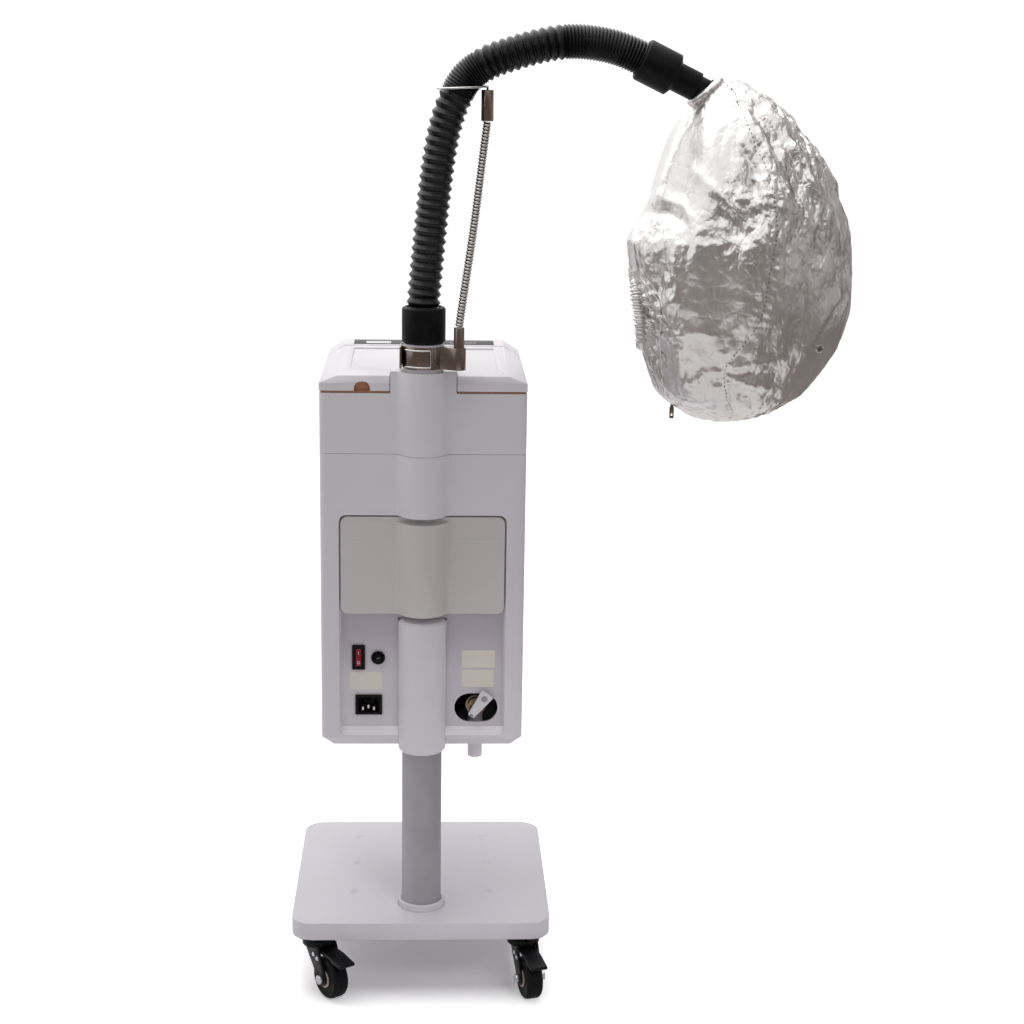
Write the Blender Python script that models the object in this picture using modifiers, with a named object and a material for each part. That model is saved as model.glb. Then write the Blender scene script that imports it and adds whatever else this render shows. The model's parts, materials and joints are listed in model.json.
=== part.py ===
# Hair steamer: a steam cabinet on a pole stand with casters, a ribbed hose and a fabric hood.
# Metres, +Z up. The origin is on the floor, on the pole's axis. The rear of the cabinet faces -Y.

import math

import bmesh
import bpy
from mathutils import Matrix, Vector

for old in list(bpy.data.objects):
    bpy.data.objects.remove(old, do_unlink=True)

# Clearances
FIT = 0.0003  # between pieces that touch
RUNNING = 0.0006  # between pieces that turn or slide on each other
PASS = 0.005  # how far a cutter runs past the surface that it cuts
BITE = 0.002  # how far two joined shapes reach into each other
FULL_ROUND_SHARE = 0.499  # of a height: a corner that makes a round end
WALL = 0.003  # moulded plastic

# Base plate, pole and collar
PLATE_WIDTH = 0.300
PLATE_DEPTH = 0.300
PLATE_THICKNESS = 0.021
PLATE_CORNER = 0.024
PLATE_EDGE = 0.003
POLE_FROM_REAR_EDGE = 0.056
POLE_DIAMETER = 0.046
POLE_WALL = 0.002
POLE_FOOT_DIAMETER = 0.090
POLE_FOOT_THICKNESS = 0.004
COLLAR_WALL = 0.004
COLLAR_RISE = 0.008

# Casters
WHEEL_DIAMETER = 0.050
WHEEL_WIDTH = 0.020
WHEEL_EDGE = 0.003
WHEEL_HUB_DIAMETER = 0.016
WHEEL_RIM_DIAMETER = 0.036
AXLE_DIAMETER = 0.006
AXLE_HEAD_DIAMETER = 0.011
AXLE_HEAD_HEIGHT = 0.0045
CASTER_INSET = 0.030
CASTER_TRAIL = 0.027
CASTER_PLATE_SIDE = 0.044
CASTER_PLATE_THICKNESS = 0.0024
CASTER_RACE_DIAMETER = 0.032
CASTER_RACE_HEIGHT = 0.0055
FORK_CROWN_DIAMETER = 0.038
FORK_CROWN_HEIGHT = 0.007
FORK_CROWN_ROOM = 0.0085  # from the top of the wheel to the crown
FORK_LEG_THICKNESS = 0.0025
FORK_LEG_RADIUS = 0.0085
FORK_NOSE_SHARE = 0.7  # of the crown's radius, as is the tail
FORK_TAIL_SHARE = 0.95
PEDAL_THICKNESS = 0.0045
PEDAL_REACH = 0.036  # past the axle, along the trail
PEDAL_TAIL = 0.005
PEDAL_BEND_SHARE = 0.62  # of the way to the tip
PEDAL_TREAD_SHARE = 1.15  # of the way to the bend
PEDAL_TIP_SHARE = 0.2  # of the thickness, as is the lip
PEDAL_LIP_SHARE = 0.6
# name, side in X, side in Y (-1 rear), swivel angle in degrees as the stand was left
CASTERS = (
    ("rear_left", -1, -1, 35),
    ("rear_right", 1, -1, 15),
    ("front_left", -1, 1, 25),
    ("front_right", 1, 1, -10),
)

# Cabinet
POLE_SHOWING = 0.197  # from the base plate to the cabinet's underside
CABINET_WIDTH = 0.231
CABINET_DEPTH = 0.250
REAR_SETBACK = 0.0065  # rear face behind the pole's axis
CABINET_CORNER = 0.006
BOTTOM_CHAMFER = 0.012
BOTTOM_RIM = 0.015  # from the underside to the rear recess
LOWER_PANEL_HEIGHT = 0.1463  # from the recess's foot to the tank
TANK_HEIGHT = 0.113
BAND_ABOVE_TANK = 0.0700  # from the recess's top to the seam
RECESS_BORDER = 0.021
RECESS_DEPTH = 0.008
RECESS_CORNER = 0.008
UPPER_HEIGHT = 0.0685
SEAL_THICKNESS = 0.002
SEAL_WIDTH = 0.008
SEAL_INSET = 0.0012
LID_HEIGHT = 0.0221
LID_SHOULDER = 0.0085  # height of the lid's upright edge
LID_CHAMFER = 0.020  # how far the lid's sides lean in
LID_WALL = 0.0035
LID_LENGTH = 0.186  # from the rear face to the hinge axis
HINGE_RADIUS = 0.0035
HINGE_PIN_DIAMETER = 0.003
HINGE_LUG_WIDTH = 0.006
HINGE_WEB_SHARE = 0.6  # of the knuckle's radius
TRAY_DEPTH = 0.0016
TRAY_BORDER = 0.013
TRAY_DRAFT = 0.001
COMPARTMENT_DEPTH = 0.046
COMPARTMENT_BORDER = 0.010
NOTCH_WIDTH = 0.0177
NOTCH_HEIGHT = 0.0115
NOTCH_FROM_SIDE = 0.0476
NOTCH_TAB_SHARE = 0.8  # half the seal's tab, of the notch's width
STRIP_LENGTH = 0.168
STRIP_DEPTH = 0.036
STRIP_THICKNESS = 0.001

# Rear column, pole sleeve and tank
COLUMN_DIAMETER = 0.055
COLUMN_FILLET = 0.008
SLEEVE_BELOW_CABINET = 0.004
SLEEVE_TOP_GAP = 0.0075  # from the sleeve to the tank
SLEEVE_CAP = 0.006
SLEEVE_EDGE = 0.003
SADDLE_WALL = 0.010
TANK_GAP = 0.0020  # between the tank's face and the recess
TANK_DEPTH = 0.095
TANK_WALL = 0.0025
TANK_STEP = 0.006  # from the face's edge to the body
TANK_CORNER = 0.008
TANK_BULGE_TOP_GAP = 0.0055
SHELF_THICKNESS = 0.003

# Rear panel fittings: places are outwards from the middle of the panel beside the column, and up from the foot
SWITCH_SIZE = (0.0147, 0.0295)
SWITCH_PLACE = (0.0079, 0.0920)
SWITCH_BODY_DEPTH = 0.020
ROCKER_SIZE = (0.0064, 0.0200)
ROCKER_THICKNESS = 0.005
ROCKER_TILT = math.radians(9)
ROCKER_POCKET_SHARE = 1.6  # of the rocker's thickness
ROCKER_SINK_SHARE = 0.25
FUSE_PLACE = (-0.0144, 0.0915)
FUSE_BEZEL_DIAMETER = 0.016
FUSE_BARREL_DIAMETER = 0.0125
FUSE_CAP_DIAMETER = 0.0100
FUSE_DEPTH = 0.030
FUSE_CAP_RISE = 0.003
FUSE_CAP_DEPTH_SHARE = 0.4  # of the holder's depth
FUSE_SLOT_SHARE = 0.09  # half the slot, of the cap's diameter
INLET_SIZE = (0.0307, 0.0240)
INLET_PLACE = (-0.0036, 0.0350)
INLET_SOCKET = (0.0235, 0.0175)
INLET_SOCKET_DEPTH = 0.015
INLET_BODY_DEPTH = 0.021
PIN_SIZE = (0.0021, 0.0040)
PIN_SPACING = 0.0070
PIN_STAGGER = 0.0020
BEZEL_THICKNESS = 0.002
BEZEL_LIP = 0.0015
VALVE_PLACE = (-0.0028, 0.0310)
VALVE_OPENING = (0.0500, 0.0347)
VALVE_BODY_DIAMETER = 0.024
VALVE_BODY_LENGTH = 0.040
VALVE_RING_DIAMETER = 0.019
VALVE_STEM_DIAMETER = 0.006
VALVE_SETBACK = 0.006  # the valve's ring behind the panel
LEVER_ABOVE = 0.023
LEVER_BELOW = 0.010
LEVER_NARROW = 0.008
LEVER_BROAD = 0.016
LEVER_THICKNESS = 0.005
LEVER_CLEARANCE = 0.003  # between the lever and the panel
LEVER_ANGLE = math.radians(54)
STEM_SHARE = 0.3  # of the lever's thickness that the stem leaves, and the bore
LEVER_BORE_SHARE = 0.25
SPOUT_DIAMETER = 0.0172
SPOUT_BORE = 0.012
SPOUT_BELOW_CABINET = 0.025

# Steam parts inside
BOILER_DIAMETER = 0.100
BOILER_HEIGHT = 0.090
BOILER_WALL = 0.002
BOILER_NECK_DIAMETER = 0.016
BOILER_NECK_HEIGHT = 0.012
BOILER_FROM_REAR = 0.150
HEATER_THICKNESS = 0.005
HEATER_HEIGHT = 0.026
PIPE_DIAMETER = 0.010
PIPE_BORE = 0.007
PIPE_OFFSET = 0.011  # in front of the outlet's axis
BOARD_SIZE = (0.150, 0.040)
BOARD_THICKNESS = 0.0016

# Steam outlet, clamp and arm
BLOCK_WIDTH = 0.0734
BLOCK_FRONT = 0.038
BLOCK_GAP = 0.0008
OUTLET_DIAMETER = 0.044
OUTLET_WALL = 0.004
OUTLET_RISE = 0.031
OUTLET_SEAT = 0.041
CLAMP_HEIGHT = 0.0245
CLAMP_RISE = 0.004
CLAMP_BAND = 0.0013
SOCKET_WALL = 0.0016
FERRULE_DIAMETER = 0.0115
FERRULE_HEIGHT = 0.047
FERRULE_REACH = 0.0423
FERRULE_ANGLE = math.radians(-23.7)
LATCH_THICKNESS = 0.0025
LATCH_LENGTH = 0.026
LATCH_GAP = 0.0004
BAIL_WIRE = 0.0020
BAIL_INSET = 0.003
BAIL_GAP = 0.0008
BAIL_SWEEP = math.radians(72)
GOOSENECK_DIAMETER = 0.0078
GOOSENECK_BOW = 0.001
UPPER_FERRULE_HEIGHT = 0.033
UPPER_FERRULE_DIAMETER = 0.0135
LOOP_WIRE = 0.0026
LOOP_GAP = 0.0010
LOOP_ALONG_HOSE = 0.2685  # from the hose's foot to the wire loop
LOOP_TAIL = 0.010
LOOP_TILT = math.radians(-3.2)
LOOP_RISE = 0.0036  # the wire's turn above the ferrule

# Hose and cuffs. The route is in the plane of the arm, from the hose's foot: (outward, up).
HOSE_DIAMETER = 0.0376
HOSE_RIB_DEPTH = 0.0022
HOSE_BORE = 0.030
CUFF_WALL = 0.0050
LOWER_CUFF_HEIGHT = 0.040
LOWER_CUFF_SEAT = 0.011
CUFF_EDGE = 0.002
SPIGOT_DEPTH = 0.018
UPPER_CUFF_LENGTH = 0.038
UPPER_CUFF_SHOULDER = 0.004
UPPER_CUFF_NECK = 0.025
UPPER_CUFF_NECK_DIAMETER = 0.0314
HOSE_IN_UPPER_CUFF = 0.025
HOSE_END_SLOPE = math.radians(-25.5)
# Ribs from the lower cuff to the upper one, stretched and pushed together by turns: (count, pitch)
HOSE_ZONES = ((24, 0.0096), (13, 0.0030), (11, 0.0084), (24, 0.0036))
HOSE_ROUTE = (
    (0.0000, 0.0380),
    (0.0045, 0.0890),
    (0.0095, 0.1390),
    (0.0155, 0.1880),
    (0.0220, 0.2220),
    (0.0305, 0.2480),
    (0.0445, 0.2735),
    (0.0660, 0.2895),
    (0.0950, 0.3005),
    (0.1300, 0.3100),
    (0.1600, 0.3135),
    (0.1920, 0.3105),
    (0.2203, 0.3022),
)

# Hood. Each section is a left point, a right point and half its depth, from the flange's centre.
INLET_SPIGOT_DIAMETER = 0.026
INLET_SPIGOT_BORE = 0.021
INLET_SPIGOT_SEAT = 0.015
INLET_SPIGOT_SHOWING = 0.0035
FLANGE_DIAMETER = 0.043
FLANGE_THICKNESS = 0.003
FLANGE_SLOPE = math.radians(-51)
NECK_DIAMETER = 0.039
HOOD_THICKNESS = 0.0025
HOOD_SECTIONS = (
    ((-0.0266, -0.0290), (0.0444, 0.0090), 0.034),
    ((-0.0386, -0.0520), (0.0914, -0.0230), 0.060),
    ((-0.0506, -0.0890), (0.1314, -0.0750), 0.084),
    ((-0.0606, -0.1230), (0.1544, -0.1250), 0.097),
    ((-0.0810, -0.1570), (0.1620, -0.1710), 0.105),
    ((-0.0760, -0.1970), (0.1670, -0.2110), 0.106),
    ((-0.0716, -0.2400), (0.1640, -0.2450), 0.102),
    ((-0.0576, -0.2800), (0.1504, -0.2820), 0.092),
    ((-0.0456, -0.3200), (0.1234, -0.3210), 0.074),
    ((-0.0196, -0.3444), (0.0914, -0.3444), 0.047),
    ((0.0084, -0.3570), (0.0514, -0.3560), 0.018),
)
HOOD_ROWS = 20
HOOD_COLUMNS = 30
FOLD_COUNT = 9
FOLD_HEIGHT = 0.0035
FOLD_FADE_SHARE = 0.6  # of the height that is gone at the foot
FOLD_DRIFT = 5  # turns of the folds' phase from neck to foot
MINOR_FOLD_COUNT = 5
MINOR_FOLD_SHARE = 0.5
MINOR_FOLD_DRIFT = 9
ROW_POWER = 0.9  # closer rows towards the neck
FACE_OPENING = (0.092, 0.084)  # across Y, up Z
FACE_OPENING_DROP = 0.234  # below the flange's centre
FACE_OPENING_SHIFT = 0.010  # away from the rear
ELASTIC_DIAMETER = 0.007
ELASTIC_GATHERS = 18
ELASTIC_WAVE = 0.0012
SNAP_DIAMETER = 0.009
SNAP_THICKNESS = 0.002
SNAP_SHARE = 0.70  # along the hood from neck to foot, 0 to 1
SNAP_TURN = math.radians(-33)
ZIP_SHARE = 0.905
ZIP_PULL_SIZE = (0.005, 0.014)
ZIP_PULL_THICKNESS = 0.0016
ZIP_CORNER_SHARE = 0.3  # of the pull's width
ZIP_HOLE_SHARE = 0.24
ZIP_HOLE_DROP_SHARE = 0.7  # of its height

# Heights, from the floor up
WHEEL_RADIUS = WHEEL_DIAMETER / 2
CROWN_BOTTOM = WHEEL_DIAMETER + FORK_CROWN_ROOM
CROWN_TOP = CROWN_BOTTOM + FORK_CROWN_HEIGHT
RACE_BOTTOM = CROWN_TOP + FIT
CASTER_TOP = RACE_BOTTOM + CASTER_RACE_HEIGHT + CASTER_PLATE_THICKNESS
PLATE_BOTTOM = CASTER_TOP + FIT
PLATE_TOP = PLATE_BOTTOM + PLATE_THICKNESS
CABINET_BOTTOM = PLATE_TOP + POLE_SHOWING
RECESS_BOTTOM = CABINET_BOTTOM + BOTTOM_RIM
TANK_BOTTOM = RECESS_BOTTOM + LOWER_PANEL_HEIGHT
TANK_TOP = TANK_BOTTOM + TANK_HEIGHT
RECESS_TOP = TANK_TOP + TANK_GAP
SEAM = RECESS_TOP + BAND_ABOVE_TANK
UPPER_BOTTOM = SEAM + FIT
UPPER_TOP = UPPER_BOTTOM + UPPER_HEIGHT
SEAL_TOP = UPPER_TOP + FIT + SEAL_THICKNESS
LID_BOTTOM = SEAL_TOP + FIT
LID_TOP = LID_BOTTOM + LID_HEIGHT
SHOULDER = LID_BOTTOM + LID_SHOULDER
SLEEVE_BOTTOM = CABINET_BOTTOM - SLEEVE_BELOW_CABINET
SLEEVE_TOP = TANK_BOTTOM - SLEEVE_TOP_GAP
OUTLET_TOP = LID_TOP + OUTLET_RISE
OUTLET_BOTTOM = LID_TOP - OUTLET_SEAT
CLAMP_BOTTOM = LID_TOP + CLAMP_RISE
CLAMP_TOP = CLAMP_BOTTOM + CLAMP_HEIGHT
LOWER_CUFF_BOTTOM = OUTLET_TOP + FIT

# Widths and depths
POLE_RADIUS = POLE_DIAMETER / 2
COLUMN_RADIUS = COLUMN_DIAMETER / 2
COLLAR_RADIUS = POLE_RADIUS + FIT + COLLAR_WALL
HALF_WIDTH = CABINET_WIDTH / 2
REAR = -REAR_SETBACK
FRONT = REAR + CABINET_DEPTH
PANEL = REAR + RECESS_DEPTH  # outer face of the recessed rear panel
PANEL_INSIDE = PANEL + WALL
HALF_RECESS = HALF_WIDTH - RECESS_BORDER
HALF_TANK = HALF_RECESS - TANK_GAP
PANEL_MIDDLE = (HALF_RECESS + COLUMN_RADIUS + COLUMN_FILLET) / 2  # of the panel beside the column
HINGE_LINE = REAR + LID_LENGTH
HINGE_HEIGHT = LID_TOP - HINGE_RADIUS
HALF_BLOCK = BLOCK_WIDTH / 2
OUTLET_RADIUS = OUTLET_DIAMETER / 2
HOSE_RADIUS = HOSE_DIAMETER / 2
PLATE_REAR = -POLE_FROM_REAR_EDGE
PLATE_FRONT = PLATE_REAR + PLATE_DEPTH

parts = bpy.data.collections.new("hair_steamer")
cutters = bpy.data.collections.new("hair_steamer_cutters")
cutters.hide_render = True
bpy.context.scene.collection.children.link(parts)
bpy.context.scene.collection.children.link(cutters)


def finish(name, colour, roughness, metallic=0.0):
    material = bpy.data.materials.new(name)
    material.use_nodes = True
    shader = material.node_tree.nodes["Principled BSDF"]
    shader.inputs["Base Color"].default_value = (*colour, 1.0)
    shader.inputs["Roughness"].default_value = roughness
    shader.inputs["Metallic"].default_value = metallic
    return material


white = finish("white_plastic", (0.80, 0.78, 0.82), 0.35)
milky = finish("tank_plastic", (0.52, 0.51, 0.49), 0.30)
black = finish("black_plastic", (0.012, 0.012, 0.014), 0.45)
rubber = finish("black_rubber", (0.015, 0.015, 0.017), 0.70)
tyre = finish("wheel_rubber", (0.010, 0.010, 0.011), 0.55)
zinc = finish("zinc_steel", (0.55, 0.55, 0.53), 0.30, 1.0)
pole_steel = finish("pole_steel", (0.26, 0.26, 0.29), 0.42, 0.6)
nickel = finish("dark_nickel", (0.20, 0.17, 0.15), 0.25, 1.0)
brass = finish("brass", (0.55, 0.38, 0.18), 0.35, 1.0)
steel = finish("stainless_steel", (0.60, 0.60, 0.60), 0.28, 1.0)
brown = finish("seal_silicone", (0.30, 0.11, 0.045), 0.60)
red = finish("red_rocker", (0.30, 0.004, 0.010), 0.25)
foil = finish("foil_fabric", (0.62, 0.60, 0.59), 0.22, 0.9)
dark = finish("panel_glass", (0.05, 0.05, 0.06), 0.15)
green = finish("circuit_board", (0.02, 0.12, 0.05), 0.50)


def link(name, data, material, helper=False):
    obj = bpy.data.objects.new(name, data)
    if helper:
        cutters.objects.link(obj)
        obj.hide_render = True
        obj.display_type = "WIRE"
    else:
        parts.objects.link(obj)
    if material:
        data.materials.append(material)
    return obj


def mesh_object(name, shape, material, helper=False):
    bmesh.ops.recalc_face_normals(shape, faces=shape.faces)
    mesh = bpy.data.meshes.new(name)
    shape.to_mesh(mesh)
    shape.free()
    return link(name, mesh, material, helper)


def box(name, low, high, material=None, helper=False):
    shape = bmesh.new()
    bmesh.ops.create_cube(shape, size=1.0)
    size = [b - a for a, b in zip(low, high)]
    middle = [(a + b) / 2 for a, b in zip(low, high)]
    bmesh.ops.scale(shape, vec=size, verts=shape.verts)
    bmesh.ops.translate(shape, vec=middle, verts=shape.verts)
    return mesh_object(name, shape, material, helper)


def turned(name, profile, material=None, centre=(0, 0, 0), axis=(0, 0, 1), steps=32, helper=False):
    # The profile is (radius, height), down the outer side. It closes on itself unless it ends on the axis.
    mesh = bpy.data.meshes.new(name)
    points = [(radius, 0.0, height) for radius, height in profile]
    edges = [(i, i + 1) for i in range(len(points) - 1)]
    if profile[0][0] > 0 or profile[-1][0] > 0:
        edges.append((len(points) - 1, 0))
    mesh.from_pydata(points, edges, [])
    obj = link(name, mesh, material, helper)
    screw = obj.modifiers.new("turn", "SCREW")
    screw.steps = steps
    screw.render_steps = steps
    screw.use_merge_vertices = True
    screw.merge_threshold = 0.00001
    screw.use_smooth_shade = True
    obj.location = centre
    obj.rotation_mode = "QUATERNION"
    obj.rotation_quaternion = Vector((0, 0, 1)).rotation_difference(Vector(axis))
    return obj


def cylinder(name, radius, low, high, centre=(0, 0, 0), axis=(0, 0, 1), steps=32, helper=True):
    profile = [(0, high), (radius, high), (radius, low), (0, low)]
    return turned(name, profile, None, centre, axis, steps, helper)


def ring(outer, inner, low, high):
    return [(outer, high), (outer, low), (inner, low), (inner, high)]


def evaluated_mesh(obj):
    graph = bpy.context.evaluated_depsgraph_get()
    mesh = bpy.data.meshes.new_from_object(obj.evaluated_get(graph))
    shape = bmesh.new()
    shape.from_mesh(mesh)
    bmesh.ops.remove_doubles(shape, verts=shape.verts, dist=0.000001)
    bmesh.ops.recalc_face_normals(shape, faces=shape.faces)
    shape.to_mesh(mesh)
    shape.free()
    return mesh


def as_mesh(obj):
    # A curve, or an object with modifiers, as a plain mesh object of the same name and place.
    name = obj.name
    mesh = evaluated_mesh(obj)
    home = obj.users_collection[0]
    fixed = bpy.data.objects.new(name, mesh)
    fixed.matrix_world = obj.matrix_world
    fixed.hide_render = obj.hide_render
    fixed.display_type = obj.display_type
    bpy.data.objects.remove(obj, do_unlink=True)
    fixed.name = name
    home.objects.link(fixed)
    return fixed


def prism(name, outlines, low, high, material=None, frame=None, helper=False):
    # Flat outlines (the first outside, the rest holes), extruded from low to high along the frame's Z.
    curve = bpy.data.curves.new(name, "CURVE")
    curve.dimensions = "2D"
    curve.fill_mode = "BOTH"
    curve.extrude = (high - low) / 2
    for outline in outlines:
        spline = curve.splines.new("POLY")
        spline.points.add(len(outline) - 1)
        spline.use_cyclic_u = True
        for point, (x, y) in zip(spline.points, outline):
            point.co = (x, y, 0.0, 1.0)
    obj = link(name, curve, material, helper)
    bpy.context.view_layer.update()
    fixed = as_mesh(obj)
    fixed.data.transform(Matrix.Translation((0, 0, (high + low) / 2)))
    if frame:
        fixed.data.transform(frame)
        if frame.determinant() < 0:
            fixed.data.flip_normals()
    return fixed


def tube(name, points, radius, material=None, sides=2, closed=False, scales=None, helper=False):
    curve = bpy.data.curves.new(name, "CURVE")
    curve.dimensions = "3D"
    curve.bevel_depth = radius
    curve.bevel_resolution = sides
    curve.use_fill_caps = True
    spline = curve.splines.new("POLY")
    spline.points.add(len(points) - 1)
    spline.use_cyclic_u = closed
    for i, point in enumerate(points):
        spline.points[i].co = (*point, 1.0)
        if scales:
            spline.points[i].radius = scales[i]
    return link(name, curve, material, helper)


def loft(name, sections, material=None, cap_first=True, cap_last=True, helper=False):
    # Skins closed loops that all have the same number of points.
    shape = bmesh.new()
    rows = [[shape.verts.new(point) for point in section] for section in sections]
    count = len(rows[0])
    for first, second in zip(rows, rows[1:]):
        for i in range(count):
            j = (i + 1) % count
            shape.faces.new((first[i], first[j], second[j], second[i]))
    if cap_first:
        shape.faces.new(rows[0])
    if cap_last:
        shape.faces.new(rows[-1])
    return mesh_object(name, shape, material, helper)


def cut(piece, *tools):
    for tool in tools:
        boolean = piece.modifiers.new("cut", "BOOLEAN")
        boolean.operation = "DIFFERENCE"
        boolean.object = tool


def join(piece, *tools):
    for tool in tools:
        boolean = piece.modifiers.new("join", "BOOLEAN")
        boolean.operation = "UNION"
        boolean.object = tool


def set_origin(piece, point):
    # Moves a piece's origin onto its joint's axis, with the piece left in place.
    piece.data.transform(Matrix.Translation(-Vector(point)))
    piece.location = point


def arc(centre, radius, start, end, count):
    # Points along an arc, angles in degrees.
    angles = [math.radians(start + (end - start) * i / (count - 1)) for i in range(count)]
    return [(centre[0] + radius * math.cos(a), centre[1] + radius * math.sin(a)) for a in angles]


def circle(centre, radius, count=32):
    return arc(centre, radius, 0, 360 * (count - 1) / count, count)


def rounded_rectangle(low, high, radius, count=5):
    (x0, y0), (x1, y1) = low, high
    corners = (
        ((x1 - radius, y0 + radius), -90),
        ((x1 - radius, y1 - radius), 0),
        ((x0 + radius, y1 - radius), 90),
        ((x0 + radius, y0 + radius), 180),
    )
    points = []
    for centre, start in corners:
        points += arc(centre, radius, start, start + 90, count)
    return points


def at_height(outline, height):
    return [(x, y, height) for x, y in outline]


# Frames for outlines drawn as (X, Z) and pushed along Y, and as (Y, Z) and pushed along X.
along_y = Matrix(((1, 0, 0, 0), (0, 0, 1, 0), (0, 1, 0, 0), (0, 0, 0, 1)))
along_x = Matrix(((0, 0, 1, 0), (1, 0, 0, 0), (0, 1, 0, 0), (0, 0, 0, 1)))


def column_outline(radius, wall, fillet, inside):
    # Half-round column that flows into a flat wall at y = wall and closes inside it.
    reach = math.sqrt((radius + fillet) ** 2 - (fillet - wall) ** 2)
    lean = math.degrees(math.atan2(fillet - wall, reach))
    points = arc((reach, wall - fillet), fillet, 90, 180 - lean, 5)
    points += arc((0, 0), radius, -lean, lean - 180, 17)[1:-1]
    points += arc((-reach, wall - fillet), fillet, lean, 90, 5)
    return points + [(-reach, inside), (reach, inside)]


def smooth_path(points, start_way, end_way, per_span=10):
    # A curve through the points, leaving the first and reaching the last in the given directions.
    points = [Vector(point) for point in points]
    before = points[1] - 2 * (points[1] - points[0]).length * Vector(start_way)
    after = points[-2] + 2 * (points[-1] - points[-2]).length * Vector(end_way)
    padded = [before] + points + [after]
    curve = []
    for i in range(1, len(padded) - 2):
        a, b, c, d = padded[i - 1 : i + 3]
        for k in range(per_span):
            t = k / per_span
            flow = 2 * b + (c - a) * t + (2 * a - 5 * b + 4 * c - d) * t**2 + (3 * b - 3 * c + d - a) * t**3
            curve.append(flow / 2)
    return curve + [points[-1]]


def lengths_along(path):
    lengths = [0.0]
    for first, second in zip(path, path[1:]):
        lengths.append(lengths[-1] + (second - first).length)
    return lengths


def point_along(path, lengths, distance):
    for i in range(1, len(path)):
        if lengths[i] >= distance or i == len(path) - 1:
            share = (distance - lengths[i - 1]) / (lengths[i] - lengths[i - 1])
            return path[i - 1].lerp(path[i], share)


# Stand

def make_stand():
    outline = rounded_rectangle(
        (-PLATE_WIDTH / 2, PLATE_REAR), (PLATE_WIDTH / 2, PLATE_FRONT), PLATE_CORNER, 7
    )
    plate = prism("base_plate", [outline], PLATE_BOTTOM, PLATE_TOP, white)
    edge = plate.modifiers.new("edge", "BEVEL")
    edge.width = PLATE_EDGE
    edge.segments = 2
    edge.angle_limit = math.radians(60)
    cut(plate, cylinder("collar_hole", COLLAR_RADIUS + FIT, PLATE_BOTTOM - PASS, PLATE_TOP + PASS))

    foot_top = PLATE_BOTTOM - FIT
    foot_bottom = foot_top - POLE_FOOT_THICKNESS
    bore = POLE_RADIUS - POLE_WALL
    pole_top = SLEEVE_TOP - SLEEVE_CAP - FIT
    turned(
        "pole",
        [
            (POLE_RADIUS, pole_top),
            (POLE_RADIUS, foot_top),
            (POLE_FOOT_DIAMETER / 2, foot_top),
            (POLE_FOOT_DIAMETER / 2, foot_bottom),
            (bore, foot_bottom),
            (bore, pole_top),
        ],
        pole_steel,
    )
    turned(
        "pole_collar",
        ring(COLLAR_RADIUS, POLE_RADIUS + FIT, PLATE_BOTTOM, PLATE_TOP + COLLAR_RISE),
        white,
    )


def fork_mesh():
    gap = WHEEL_WIDTH / 2 + RUNNING
    middle = CROWN_BOTTOM + FORK_CROWN_HEIGHT / 2
    crown_radius = FORK_CROWN_DIAMETER / 2
    fork = cylinder("fork", crown_radius, CROWN_BOTTOM, CROWN_TOP, steps=18, helper=False)
    outline = [(crown_radius * FORK_NOSE_SHARE, middle), (-crown_radius * FORK_TAIL_SHARE, middle)]
    outline += arc((-CASTER_TRAIL, WHEEL_RADIUS), FORK_LEG_RADIUS, 160, 320, 5)
    for side in (-1, 1):
        inner = side * gap
        outer = side * (gap + FORK_LEG_THICKNESS)
        leg = prism("fork_leg", [outline], min(inner, outer), max(inner, outer), None, along_x, True)
        join(fork, leg)
    hole = AXLE_DIAMETER / 2 + FIT
    reach = gap + FORK_LEG_THICKNESS + PASS
    centre = (0, -CASTER_TRAIL, WHEEL_RADIUS)
    cut(fork, cylinder("fork_hole", hole, -reach, reach, centre, (1, 0, 0), 12))
    bpy.context.view_layer.update()
    mesh = evaluated_mesh(fork)
    bpy.data.objects.remove(fork, do_unlink=True)
    mesh.materials.clear()
    mesh.materials.append(black)
    return mesh


def make_caster_plate(name, place):
    half = CASTER_PLATE_SIDE / 2
    low = CASTER_TOP - CASTER_PLATE_THICKNESS
    outline = rounded_rectangle((-half, -half), (half, half), half / 5, 4)
    plate = prism("caster_plate_" + name, [outline], low, CASTER_TOP, zinc)
    race = cylinder("caster_race", CASTER_RACE_DIAMETER / 2, RACE_BOTTOM, low + BITE / 2, steps=20)
    plate.parent = place
    race.parent = place
    join(plate, race)


def make_wheel(name, swivel):
    half = WHEEL_WIDTH / 2
    bore = AXLE_DIAMETER / 2 + RUNNING
    face = half - WHEEL_EDGE / 2
    side = [
        (WHEEL_HUB_DIAMETER / 2, half),
        (WHEEL_RIM_DIAMETER / 2, face),
        (WHEEL_RADIUS - WHEEL_EDGE, half),
        (WHEEL_RADIUS, half - WHEEL_EDGE),
    ]
    other_side = [(radius, -height) for radius, height in reversed(side)]
    profile = [(bore, half)] + side + other_side + [(bore, -half)]
    wheel = turned("caster_wheel_" + name, profile, tyre, steps=22)
    wheel.parent = swivel
    wheel.location = (0, -CASTER_TRAIL, WHEEL_RADIUS)
    wheel.rotation_quaternion = Vector((0, 0, 1)).rotation_difference(Vector((1, 0, 0)))

    shank = AXLE_DIAMETER / 2
    head = AXLE_HEAD_DIAMETER / 2
    end = half + RUNNING + FORK_LEG_THICKNESS + FIT
    tip = end + AXLE_HEAD_HEIGHT
    profile = [(0, tip), (head, tip), (head, end), (shank, end)]
    profile += [(shank, -end), (head, -end), (head, -tip), (0, -tip)]
    axle = turned("caster_axle_" + name, profile, zinc, steps=12)
    axle.parent = swivel
    axle.location = wheel.location
    axle.rotation_quaternion = wheel.rotation_quaternion


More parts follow.
